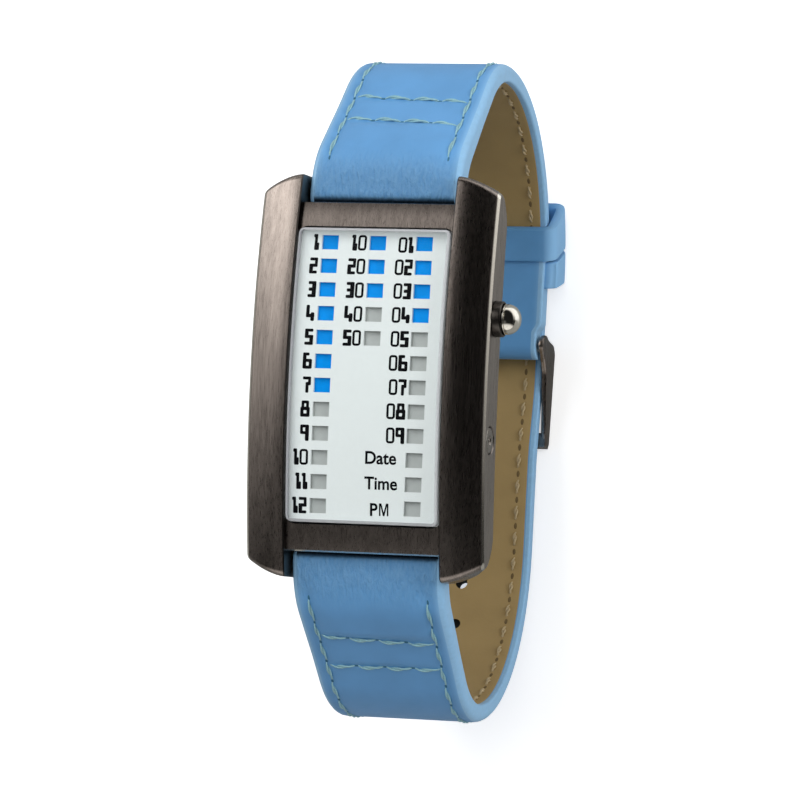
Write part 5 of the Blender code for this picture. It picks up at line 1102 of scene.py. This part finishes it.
def strap_skin(path, side, s, half, top, low, corners, rows=None, ends=(None, None)):
    """A strap layer: a soft box section carried along the strap's line.

    Across, x = share (w - r) + r cos a. In depth, z = low + r1 + h (top - low - r1 - r2) + r sin a, and the
    outer face rises over the padding. ends rounds the first or last row about a bar of that radius.
    """
    share, cosine, height, sine = soft_section()
    point, normal, heading = follow(path, side, s)
    half, top, low = (np.broadcast_to(each, s.shape).astype(float) for each in (half, top, low))
    for radius, place_at, way in ((ends[0], 0, -1), (ends[1], -1, 1)):
        if radius:
            turn = np.linspace(0.0, 0.86 * QUARTER, ROLL_ROWS + 1)[1:][::way]
            centre = point[place_at] + normal[place_at] * (top[place_at] + low[place_at]) / 2
            more = centre + way * heading[place_at] * (radius * np.sin(turn))[:, None]
            size = radius * np.cos(turn)
            across, at = np.full(ROLL_ROWS, half[place_at]), np.full(ROLL_ROWS, s[place_at])
            extra = (more, np.repeat(normal[place_at][None], ROLL_ROWS, 0), across, size, -size, at)
            now = (point, normal, half, top, low, s)
            joined = [np.concatenate((b, a) if way < 0 else (a, b)) for a, b in zip(now, extra)]
            point, normal, half, top, low, s = joined
    deep = (top - low)[:, None]
    r_top, r_low = (np.minimum(each, deep * 0.44) for each in corners)
    r = np.where(height > 0.5, r_top, r_low)
    x = share * (half[:, None] - r) + r * cosine
    depth = low[:, None] + r_low + height * (deep - r_low - r_top) + r * sine
    if rows:
        depth = depth + height * np.clip(sine, 0.0, 1.0) * padding(s[:, None], x, half[:, None], rows)
    spot = point[:, None] + normal[:, None] * depth[..., None]
    return np.concatenate((x[..., None], spot), axis=-1)


def edge_paint():
    """Material numbers round a strap's section: its side walls take the edge paint with its painted
    highlight, the rest leather.
    """
    side = 2 * SECTION_CORNER + SECTION_WALL
    paint = np.zeros(2 * (SECTION_ACROSS + side), int)
    paint[SECTION_ACROSS - 2:SECTION_ACROSS + side - 2] = 1
    paint[0] = 1
    paint[1 - side:] = 1
    return paint


def mark(thing, name, value):
    """Writes a value on each of a piece's points: value takes their x, y and z in millimetres."""
    mesh = thing.data
    points = np.empty(len(mesh.vertices) * 3)
    mesh.vertices.foreach_get("co", points)
    points = points.reshape(-1, 3) / MM - SHIFT
    layer = mesh.attributes.new(name, "FLOAT", "POINT")
    layer.data.foreach_set("value", value(*points.T).astype(np.float32))


def mark_strap(thing, side):
    """Creases by the spring bar, painted highlight along both edges, painted shadow under the bezel bar and
    round the roll.
    """
    def away(y, z):
        return np.hypot(y - side * BAR_Y, z - BAR_Z)

    # painted highlight: pale near both edges, fading away from the spring bar
    def rim(x, y, z):
        return ramp(np.abs(x) + 0.006 * away(y, z), STRAP_LUG_HALF - 1.5, STRAP_LUG_HALF - 0.1)

    # painted shadow under the bezel bar and painted shade over the roll round the spring bar
    def shade(_, y, z):
        shadow_below_bar = (1 - ramp(side * y, 20.9, 21.65)) * (z > -6.5)
        return np.maximum(shadow_below_bar, ROLL_SHADE * (1 - ramp(away(y, z), 2.0, 5.5)))

    mark(thing, "crease", lambda _, y, z: 1 - ramp(away(y, z), 1.5, CREASE_REACH))
    mark(thing, "rim", rim)
    mark(thing, "shade", shade)


def lining_skin(path, side, s, half, thick):
    """The lining: a thin layer set in from the edges of the leather and a hair proud of its inner face."""
    top, low = LINING_DEPTH - thick / 2, -thick / 2 - LINING_PROUD
    return strap_skin(path, side, s, half - LINING_INSET, top, low, LINING_CORNERS)


def straps():
    """Leather and lining of both halves."""
    end = PATH_12["length"]
    crease = FOLD_START + np.linspace(-0.25, 0.05, 7)
    s = np.unique(np.concatenate((np.arange(0.0, end, 0.28), crease, (end,))))
    folded = ramp(s, FOLD_START - 0.2, FOLD_START)
    low = -thickness(s) / 2 - FOLD_EXTRA * folded
    skin = strap_skin(PATH_12, 1, s, half_12(s), thickness(s) / 2, low, STRAP_CORNERS, ROWS_12,
                      (BAR_ROLL, FOLD_RADIUS))
    upper = mesh_object("leather_12", [shell(skin, paint=edge_paint())], STRAP_MATERIALS, 50.0)
    slot = at_height(rect_loop(2.2, 2.3 + 3.2, 0.3, 4, 1) + (0.0, PIVOT[0] + 0.45), 0.0)
    carve(upper, [shell(np.stack((slot + (0, 0, PIVOT[1] - 3.0), slot + (0, 0, PIVOT[1] + 3.0))))], 50.0)
    mark_strap(upper, 1)
    place(upper, "strap_12", "blue_leather", "strap_12_leather")
    s = np.arange(LINING_START, FOLD_START - 0.3, 0.4)
    skin = lining_skin(PATH_12, 1, s, half_12(s), thickness(s))
    lining = mesh_object("lining_12", [shell(skin)], [TAN_LEATHER], 50.0)
    place(lining, "strap_12", "tan_leather", "strap_12_lining")
    end = PATH_6["length"]
    tip = end - TIP_LENGTH * np.square(np.linspace(1.0, 0.0, 13))
    s = np.unique(np.concatenate((np.arange(0.0, end - TIP_LENGTH, 0.3), tip)))
    thick = thickness_6(s)
    skin = strap_skin(PATH_6, -1, s, half_6(s), thick / 2, -thick / 2, STRAP_CORNERS, ROWS_6,
                      (BAR_ROLL, None))
    upper = mesh_object("leather_6", [shell(skin, paint=edge_paint())], STRAP_MATERIALS, 50.0)
    carve(upper, strap_holes(), 50.0)
    mark_strap(upper, -1)
    place(upper, "strap_6", "blue_leather", "strap_6_leather")
    s = s[(s > LINING_START) & (s < end - 0.5)]
    skin = lining_skin(PATH_6, -1, s, half_6(s), thickness_6(s))
    lining = mesh_object("lining_6", [shell(skin)], [TAN_LEATHER, TAN_LEATHER, PUNCHED], 50.0)
    carve(lining, strap_holes(), 50.0)
    place(lining, "strap_6", "tan_leather", "strap_6_lining")


def used_hole_place():
    """Distance along the 6 o'clock strap of the hole the tongue goes through, midway in the buckle."""
    s = np.linspace(PATH_6["length"] / 2, PATH_6["length"], 2000)
    point, _, _ = follow(PATH_6, -1, s)
    return float(s[np.argmin(np.abs(point[:, 0] - (2 * PIVOT[0] - BUCKLE_LENGTH) / 2))])


def strap_holes():
    """Cutters for the row of holes: round ones, and the used one drawn out along the strap."""
    used = used_hole_place()
    places = [(used, *USED_HOLE)]
    places += [(used + k * HOLE_PITCH, HOLE_WIDTH, HOLE_WIDTH) for k in (-5, -4, -3, -2, -1, 1)]
    turn = np.linspace(0.0, 2 * math.pi, 32, endpoint=False)
    shells = []
    for s, length, width in places:
        point, normal, heading = follow(PATH_6, -1, s)
        run = width / 2 * np.sin(turn) + np.sign(np.sin(turn) + 1e-9) * (length - width) / 2
        flat = point + heading * run[:, None]
        x = width / 2 * np.cos(turn)
        rings = [np.column_stack((x, flat + normal * h)) for h in (-3.0, 3.0)]
        shells.append(shell(np.stack(rings), paint=2))
    return shells


# Stitching

def thread_shells(path, side, starts, stops, face, bulge=0.0, radius=0.13):
    """Two plies twisted about each other for every stitch, arched from hole to hole.

    starts and stops hold (s, x, height) rows. The middle of a stitch rises by sin(pi t)^0.45 and bows along
    the strap by bulge sin(pi t). Its plies turn about that line by a helix and thin out at both ends.
    """
    starts, stops = np.asarray(starts, float), np.asarray(stops, float)
    t = np.linspace(0.0, 1.0, 9)
    spine = starts[:, None] + (stops - starts)[:, None] * t[None, :, None]
    arch = np.power(np.clip(np.sin(math.pi * t), 0.0, 1.0), 0.45)
    spine[..., 2] += face * (0.36 * arch - 0.24)
    spine[..., 0] += bulge * np.sin(math.pi * t)
    way = (stops - starts)[:, :2]
    way = way / np.linalg.norm(way, axis=1, keepdims=True)
    aside = np.stack((-way[:, 1], way[:, 0]), axis=-1)
    helix = 2 * math.pi * 0.95 * t[None, :] + np.array((0.0, math.pi))[:, None]
    ring = np.linspace(0.0, 2 * math.pi, 6, endpoint=False)
    thin = (radius * (0.55 + 0.45 * arch))[:, None]
    flat = thin * (np.cos(helix)[..., None] + np.cos(ring))
    high = thin * (np.sin(helix)[..., None] + np.sin(ring))
    place_s = spine[:, None, :, None, 0] + aside[:, None, None, None, 0] * flat
    place_x = spine[:, None, :, None, 1] + aside[:, None, None, None, 1] * flat
    place_h = spine[:, None, :, None, 2] + high
    points = on_strap(path, side, place_s, place_x, place_h)
    return [shell(ply) for stitch in points for ply in stitch]


def hole_shells(path, side, places, face, size=(0.30, 0.22)):
    """A small dark pit at each needle hole, painted shade in the hole: a flattened ball, longer along the
    strap, half sunk in it.
    """
    turn = np.linspace(0.0, 2 * math.pi, 10, endpoint=False)
    rise = np.linspace(-QUARTER * 0.9, QUARTER * 0.9, 5)[:, None]
    along = size[0] * np.cos(rise) * np.cos(turn)
    across = size[1] * np.cos(rise) * np.sin(turn)
    high = 0.05 * np.sin(rise) * np.ones_like(turn)
    return [shell(on_strap(path, side, s + along, x + across, h + face * 0.012 + high)) for s, x, h in places]


def stitched(name, path, side, body, half, thick, s_stop, pitch, rows, row_slants, s_lining):
    """All the thread of one strap half: both edges outside and inside, and the rows that hold the padding."""
    def top(s, x):
        return thick(s) / 2 + padding(s, x, half(s), rows)

    def under(s):
        return -thick(s) / 2 - LINING_PROUD

    threads, inner_threads, holes, inner_holes = [], [], [], []
    for way in (-1, 1):
        marks = np.linspace(STITCH_START, s_stop, int(round((s_stop - STITCH_START) / pitch)) + 1)
        a, b = marks[:-1] + 0.05, marks[1:] - 0.05
        xa, xb = way * (half(a) - STITCH_EDGE) - 0.2, way * (half(b) - STITCH_EDGE) + 0.2
        ends = np.column_stack((a, xa, top(a, xa))), np.column_stack((b, xb, top(b, xb)))
        threads += thread_shells(path, side, *ends, 1)
        x = way * (half(marks) - STITCH_EDGE)
        holes += hole_shells(path, side, zip(marks, x, top(marks, x)), 1)
        count = int(round((s_lining - LINING_STITCH_START) / LINING_PITCH))
        marks = np.linspace(LINING_STITCH_START, s_lining, count + 1)
        a, b = marks[:-1] + 0.65, marks[1:] - 0.65
        xa, xb = way * (half(a) - STITCH_EDGE), way * (half(b) - STITCH_EDGE)
        ends = np.column_stack((a, xa, under(a))), np.column_stack((b, xb, under(b)))
        inner_threads += thread_shells(path, side, *ends, -1, radius=0.145)
        x = way * (half(marks) - STITCH_EDGE)
        inner_holes += hole_shells(path, side, zip(marks, x, under(marks)), -1, (0.42, 0.2))
    for row, slant in zip(rows, row_slants):
        edge = float(half(np.array(row))) - STITCH_EDGE - 0.05
        x = np.linspace(-edge, edge, 5)
        s = np.linspace(row + slant, row - slant, 5)
        xa, xb, sa, sb = x[:-1] - 0.05, x[1:] + 0.12, s[:-1] + 0.08, s[1:] - 0.12
        ends = np.column_stack((sa, xa, top(sa, xa))), np.column_stack((sb, xb, top(sb, xb)))
        threads += thread_shells(path, side, *ends, 1, bulge=0.26)
        holes += hole_shells(path, side, zip(s[1:-1], x[1:-1], top(s[1:-1], x[1:-1])), 1, (0.2, 0.34))
    place(mesh_object(f"thread_{name}", threads, [THREAD], 80.0), body, "blue_leather")
    place(mesh_object(f"lining_thread_{name}", inner_threads, [LINING_THREAD], 80.0), body, "tan_leather")
    # dark pits at the needle holes, painted shade
    place(mesh_object(f"needle_hole_shades_{name}", holes, [NEEDLE_HOLE_SHADE], 80.0), body, "blue_leather")
    place(mesh_object(f"lining_hole_shades_{name}", inner_holes, [LINING_HOLE_SHADE], 80.0), body, "tan_leather")


# Keepers

def keeper_lean(radius):
    """How far a keeper's band next to the wrist lies back towards the buckle."""
    outside = KEEPER_FAR + KEEPER_WALL
    return KEEPER_LEAN * (outside - radius) / (outside - KEEPER_NEAR + KEEPER_WALL)


def keeper(name, body, node, start, length, low_outside, low_inside):
    """A leather band: a soft oblong section carried round a rectangular loop with round corners."""
    far_inside, far_outside = KEEPER_FAR, KEEPER_FAR + KEEPER_WALL
    half = BUCKLE_STRAP_HALF + KEEPER_CLEAR
    wall_in = low_inside - low_outside
    middle = (low_outside + low_inside) / 2
    top = (far_inside + far_outside) / 2
    x_mid = half + KEEPER_WALL / 2
    loop = rect_loop(2 * x_mid, top - middle, 1.0, 11, 25)
    loop = loop + (0.0, (top + middle) / 2)
    way = np.roll(loop, -1, axis=0) - np.roll(loop, 1, axis=0)
    normal = np.stack((way[:, 1], -way[:, 0]), axis=-1)
    normal /= np.linalg.norm(normal, axis=1, keepdims=True)
    wall = np.where(normal[:, 1] < -0.5, wall_in, KEEPER_WALL)
    span = length / far_outside
    section = np.array(((-1, -1), (1, -1), (1, 1), (-1, 1))) * (length / 2, 0.5)
    section = evenly(rounded(section, KEEPER_EDGE, 6), 48)
    x = loop[:, None, 0] + normal[:, None, 0] * section[None, :, 1] * wall[:, None]
    r = loop[:, None, 1] + normal[:, None, 1] * section[None, :, 1] * wall[:, None]
    angle = start - QUARTER + span / 2 + section[None, :, 0] / far_outside - keeper_lean(r)
    points = np.stack((x, BACK_CENTRE[0] + r * np.cos(angle), BACK_CENTRE[1] + r * np.sin(angle)), axis=-1)
    band = mesh_object(name, [shell(points, closed=True)], [BLUE_LEATHER], 50.0)
    # painted highlight: the band turns pale towards its sides
    mark(band, "rim", lambda x, y, z: 0.9 * ramp(np.abs(x), half - 0.8, half + 0.8))
    place(band, body, "blue_leather", node)


# Buckle

def plate(outline, x_low, x_high):
    """A flat plate across X with round edges: its outline is pulled in at both faces by a quarter round."""
    outline = evenly(outline, 160)
    turn = np.linspace(0.0, QUARTER, 6)
    pull = BUCKLE_EDGE * (1 - np.sin(turn))
    out = BUCKLE_EDGE * (1 - np.cos(turn))
    rings = list(zip(x_low + out, pull)) + list(zip(x_high - out[::-1], pull[::-1]))
    loops = []
    for x, inset in rings:
        loop = pulled_in(outline, inset)
        loops.append(np.column_stack((np.full(len(loop), x), loop)))
    return np.stack(loops)


def buckle_frame():
    """The frame: two arms with round bosses on the bar and a front bar with a notch for the tongue."""
    y, z = PIVOT
    front = y - BUCKLE_LENGTH
    top = FLOOR + BUCKLE_LIFT
    angle = np.linspace(-QUARTER / 2, QUARTER, 7)
    side = np.column_stack((y + BOSS_RADIUS * np.cos(angle), z + BOSS_RADIUS * np.sin(angle)))
    rest = ((y - 1.9, z - 0.4), (y - 3.2, z - 1.2), (front + 2.0, top + 0.3), (front, top - 0.475),
            (front, FLOOR + 0.475), (front + 0.5, FLOOR), (y - 0.4, FLOOR), (y + 0.6, FLOOR + 0.9))
    outline = rounded(np.vstack((side, rest)), 0.3, 4)
    inner, outer = (BACK_HALF + beyond for beyond in BUCKLE_ARM)
    arms = []
    for way in (-1, 1):
        arm = plate(outline, inner, outer)
        arm[..., 0] -= 0.3 * (y - arm[..., 1]) / BUCKLE_LENGTH
        arm[..., 0] *= way
        arms.append(shell(arm))
    bar = rounded(((front, FLOOR), (front + 2.0, FLOOR), (front + 2.0, top), (front, top)), 0.45, 7)
    bar = evenly(bar, 60)
    x = np.linspace(-inner - 0.25, inner + 0.25, 41)
    rings = np.stack([np.column_stack((np.full(len(bar), each), bar)) for each in x])
    thing = mesh_object("buckle_arms", arms, [GUNMETAL])
    place(thing, "buckle", "gunmetal", "buckle_frame")
    front_bar = mesh_object("buckle_front_bar", [shell(rings)], [GUNMETAL])
    near, far, foot, roof = front - 1.0, front + 3.0, FLOOR - 1.0, FLOOR + NOTCH_HEIGHT
    notch = rounded(((near, foot), (far, foot), (far, roof), (near, roof)), 0.2, 4)
    ends = [np.column_stack((np.full(len(notch), e), notch)) for e in (-NOTCH_HALF, NOTCH_HALF)]
    carve(front_bar, [shell(np.stack(ends))])
    place(front_bar, "buckle", "gunmetal", "buckle_frame")


def buckle_tongue():
    """The tongue: a soft section carried along a smooth line from its eye through the strap to the notch."""
    y, z = PIVOT
    level = z - 0.6 - 0.1 - 0.5 + 0.375
    deep = TONGUE_THICKNESS / 2
    low = FLOOR + (NOTCH_HEIGHT - TONGUE_THICKNESS) / 2 + deep
    front = y - BUCKLE_LENGTH
    cross = (y + front) / 2
    t = np.linspace(0.0, 1.0, 60)
    run = y + (front - 0.3 - y) * t
    height = level + (low - level) * ramp(-run, -(cross + 1.5), -(cross - 1.5))
    half = TONGUE_HALF
    section = evenly(rounded(((-half, -deep), (half, -deep), (half, deep), (-half, deep)), 0.25, 6), 32)
    point_down = 1 - 0.55 * ramp(t, 0.94, 1.0)
    x = section[None, :, 0] * point_down[:, None]
    rise = height[:, None] + section[None, :, 1] * point_down[:, None]
    blade = np.stack(np.broadcast_arrays(x, run[:, None], rise), axis=-1)
    ring = [(-half, 0.72), (half, 0.72), (half, 1.1), (half - 0.1, 1.2), (0.1 - half, 1.2), (-half, 1.1)]
    eye = lathe(ring, (0.0, y, z), sides=48, closed=True)
    place(mesh_object("tongue_blade", [shell(blade), eye], [GUNMETAL]), "tongue", "gunmetal", "buckle_tongue")


# Materials of the CAD nodes that stay

NODE_MATERIALS = {
    STEEL: ("quartz_can", "battery", "case_back_screw_1", "case_back_screw_2", "case_back_screw_3",
            "case_back_screw_4", "pusher_spring", "pusher_clip", "corrector_spring", "corrector_clip",
            "spring_bar_12", "spring_bar_12_tip_left", "spring_bar_12_tip_right", "bar_spring_12",
            "spring_bar_6", "spring_bar_6_tip_left", "spring_bar_6_tip_right", "bar_spring_6",
            "buckle_bar", "pusher_cap", "corrector_button"),
    GUNMETAL: ("case", "case_back", "pusher_tube", "buckle_frame", "buckle_tongue"),
    BLUE_LEATHER: ("strap_12_leather", "strap_6_leather", "keeper_fixed", "keeper_sliding"),
    TAN_LEATHER: ("strap_12_lining", "strap_6_lining"),
    GLASS: ("crystal",),
    RUBBER: ("crystal_gasket", "case_back_seal", "pusher_o_ring"),
    WHITE_DIAL: ("dial",),
    MILKY_FILM: ("diffuser",),
    BLACK_PLASTIC: ("light_mask", "controller_chip", "module_frame"),
    LIGHT_CHIP: ("led_strip",),
    GREEN_BOARD: ("led_board",),
    GOLD: ("battery_clip", "pusher_contact", "corrector_contact"),
}


def dress_nodes():
    """Gives every CAD node its material, those hidden inside too."""
    for material, names in NODE_MATERIALS.items():
        for name in names:
            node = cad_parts[name]
            node.data.materials.clear()
            node.data.materials.append(material)


# Studio

AMBIENT = 0.34
VIEW_YAW = math.radians(16.9)
VIEW_RISE = math.radians(-3.5)
VIEW_ROLL = math.radians(2.7)
VIEW_DISTANCE = 525.0
PICTURE = 800.0
FOCAL_SHARE = 4499.0 / PICTURE
SENSOR = 36.0
SHIFT_RIGHT, SHIFT_DOWN = 34.4 / PICTURE, 24.7 / PICTURE
STUDIO_WARMTH = (1.0, 0.97, 0.93, 1.0)
TABLE_RADIUS = 1500.0


def camera():
    """The camera looks at the middle of the case from its right and a little below, turned slightly."""
    level = math.cos(VIEW_RISE)
    back = Vector((math.sin(VIEW_YAW) * level, math.sin(VIEW_RISE), math.cos(VIEW_YAW) * level))
    right = Vector((math.cos(VIEW_YAW), 0.0, -math.sin(VIEW_YAW)))
    up = back.cross(right)
    turned_right = right * math.cos(VIEW_ROLL) + up * math.sin(VIEW_ROLL)
    turned_up = up * math.cos(VIEW_ROLL) - right * math.sin(VIEW_ROLL)
    lens = bpy.data.cameras.new("camera")
    lens.sensor_width = SENSOR
    lens.lens = SENSOR * FOCAL_SHARE
    lens.shift_x, lens.shift_y = SHIFT_RIGHT, -SHIFT_DOWN
    lens.clip_start, lens.clip_end = 0.01, 20.0
    eye = bpy.data.objects.new("camera", lens)
    turn = Matrix((turned_right, turned_up, back)).transposed().to_4x4()
    spot = (Vector(SHIFT) + back * VIEW_DISTANCE) * MM
    eye.matrix_world = Matrix.Translation(spot) @ turn
    bpy.context.scene.collection.objects.link(eye)
    bpy.context.scene.camera = eye


def lamp(name, spot, size, power):
    """A square soft lamp at a spot in metres, facing the watch."""
    light = bpy.data.lights.new(name, "AREA")
    light.size = size
    light.energy = power
    thing = bpy.data.objects.new(name, light)
    aim = Vector(spot) - Vector((0.0, 0.0, 0.03))
    thing.matrix_world = Matrix.Translation(Vector(spot)) @ aim.to_track_quat("Z", "Y").to_matrix().to_4x4()
    thing.visible_glossy = False
    bpy.context.scene.collection.objects.link(thing)


def soft_ramp(tree, value, low, high):
    """A straight ramp of a value, from 0 at low to 1 at high, held at both ends."""
    node = tree.nodes.new("ShaderNodeMapRange")
    node.inputs["From Min"].default_value = low
    node.inputs["From Max"].default_value = high
    tree.links.new(value, node.inputs["Value"])
    return node.outputs["Result"]


def soft_step(tree, value, low, high):
    """A smooth step of a value, from 0 at low to 1 at high."""
    step = soft_ramp(tree, value, low, high)
    step.node.interpolation_type = "SMOOTHSTEP"
    return step


def axes_of(tree, coordinates):
    """X, Y and Z of one set of texture coordinates."""
    place_at, axes = tree.nodes.new("ShaderNodeTexCoord"), tree.nodes.new("ShaderNodeSeparateXYZ")
    tree.links.new(place_at.outputs[coordinates], axes.inputs["Vector"])
    return axes.outputs


def room():
    """White surroundings for the camera and even light for the rest; metal sees a studio.

    The studio: a large soft box to the left and above, fading downwards, dark to the right and overhead,
    with a bright band round the horizon and a bright card below the watch.
    """
    world = bpy.data.worlds.new("room")
    bpy.context.scene.world = world
    world.use_nodes = True
    tree = world.node_tree
    tree.nodes.clear()
    out = tree.nodes.new("ShaderNodeOutputWorld")
    white, soft, seen = (tree.nodes.new("ShaderNodeBackground") for _ in range(3))
    white.inputs["Strength"].default_value = 1.0
    soft.inputs["Strength"].default_value = AMBIENT
    x, y, z = axes_of(tree, "Generated")
    left = soft_step(tree, x, -0.21, -0.50)
    rise = combine(tree, "POWER", soft_ramp(tree, y, -0.32, 0.42), 2.4)
    front = soft_step(tree, y, 0.75, 0.55)
    box = combine(tree, "MULTIPLY", left, rise)
    box = combine(tree, "MULTIPLY", box, combine(tree, "MULTIPLY", front, 3.6))
    higher = combine(tree, "MULTIPLY_ADD", soft_ramp(tree, y, -0.12, 0.5), 1.25, 0.03)
    band = combine(tree, "MULTIPLY", soft_step(tree, z, 0.42, 0.12), higher)
    card = soft_step(tree, y, -0.5, -0.8)
    below = combine(tree, "MULTIPLY", soft_step(tree, x, 0.2, -0.1), soft_step(tree, x, -0.6, -0.4))
    below = combine(tree, "MULTIPLY", below, soft_step(tree, y, -0.18, -0.32))
    card = combine(tree, "MAXIMUM", card, combine(tree, "MULTIPLY", below, 0.11))
    level = combine(tree, "ADD", combine(tree, "MAXIMUM", box, combine(tree, "MAXIMUM", band, card)), 0.012)
    tree.links.new(level, seen.inputs["Strength"])
    seen.inputs["Color"].default_value = STUDIO_WARMTH
    ray = tree.nodes.new("ShaderNodeLightPath").outputs
    around = blend(tree, ray["Is Glossy Ray"], soft.outputs["Background"], seen.outputs["Background"])
    around = blend(tree, ray["Is Camera Ray"], around, white.outputs["Background"])
    tree.links.new(around, out.inputs["Surface"])


def floor():
    """A plain white table top that takes the watch's shadow and looks white to the camera."""
    material, tree, shader = blank_material("table_top")
    field = noise_field(tree, (1, 1, 1), 40.0)
    even = spread_range(tree, field, 0.0, 1.0)
    shader.inputs["Roughness"].default_value = 0.9
    shader.inputs["Emission Color"].default_value = (1.0, 1.0, 1.0, 1.0)
    ray = tree.nodes.new("ShaderNodeLightPath").outputs
    paper = tint(tree, even, (0.84, 0.84, 0.84, 1.0), (0.86, 0.86, 0.86, 1.0))
    x, y, _ = axes_of(tree, "Object")
    far = combine(tree, "MULTIPLY", soft_step(tree, x, 0.045, 0.085), soft_step(tree, y, -0.015, 0.03))
    # painted shade: in reflections the table is dark grey near the watch and lighter further off
    mirrored = tint(tree, far, (0.38, 0.38, 0.36, 1.0), (0.84, 0.84, 0.82, 1.0))
    tree.links.new(tint(tree, ray["Is Glossy Ray"], paper, mirrored), shader.inputs["Base Color"])
    seen = combine(tree, "MULTIPLY", ray["Is Camera Ray"], 0.55)
    # painted highlight: a glow seen only in reflections, off to the right and towards 12 o'clock
    glow = combine(tree, "MULTIPLY_ADD", combine(tree, "MULTIPLY", ray["Is Glossy Ray"], far), 0.5, seen)
    tree.links.new(glow, shader.inputs["Emission Strength"])
    turn = np.linspace(0.0, 2 * math.pi, 96, endpoint=False)
    disc = TABLE_RADIUS * np.column_stack((np.cos(turn), np.sin(turn)))
    rings = [at_height(share * disc, z)
             for share, z in ((0.01, 0.0), (0.3, 0.0), (1.0, 0.0), (1.0, -2.0), (0.01, -2.0))]
    base = FLOOR - 0.02
    thing = mesh_object("table_top", [shell(np.stack(rings) + (-SHIFT[0], 0.0, base))], [material])


case_pieces()
case_back()
crystal()
pierced_dial()
lit_windows()
dial_numbers()
for word, left, right, row, lift in (("Date", 0.08, 3.85, 9, 0.20), ("Time", 0.02, 4.02, 10, 0.06),
                                     ("P", 0.74, 1.66, 11, -0.20)):
    dial_word(word, left, right, FIRST_ROW - ROW_PITCH * row + lift, WORD_HEIGHT)
letter_m(1.84, 2.98, FIRST_ROW - ROW_PITCH * 11 - 0.20, WORD_HEIGHT)
pusher()
corrector()
straps()
stitched("12", PATH_12, 1, "strap_12", half_12, thickness, 50.0, 3.7, ROWS_12, (0.6, 0.5), FOLD_START - 1.0)
stitched("6", PATH_6, -1, "strap_6", half_6, thickness_6, PATH_6["length"] - 2.5, 3.4, ROWS_6,
         (-0.45, 0.05), PATH_6["length"] - 2.5)
keeper("keeper_fixed_band", "strap_12", "keeper_fixed", math.radians(-0.9), 4.2, 21.05, 21.75)
keeper("keeper_sliding_band", "keeper", "keeper_sliding", math.radians(9.1), 5.45, KEEPER_NEAR - KEEPER_WALL,
       KEEPER_NEAR)
buckle_frame()
buckle_tongue()
dress_nodes()
floor()
room()
lamp("key_lamp", (-0.30, 0.55, 0.75), 0.55, 3.7)
lamp("top_lamp", (0.05, 0.15, 1.00), 0.60, 3.0)
lamp("side_lamp", (0.82, 0.20, 0.33), 0.60, 3.6)
camera()
bpy.context.scene.view_settings.view_transform = "Standard"
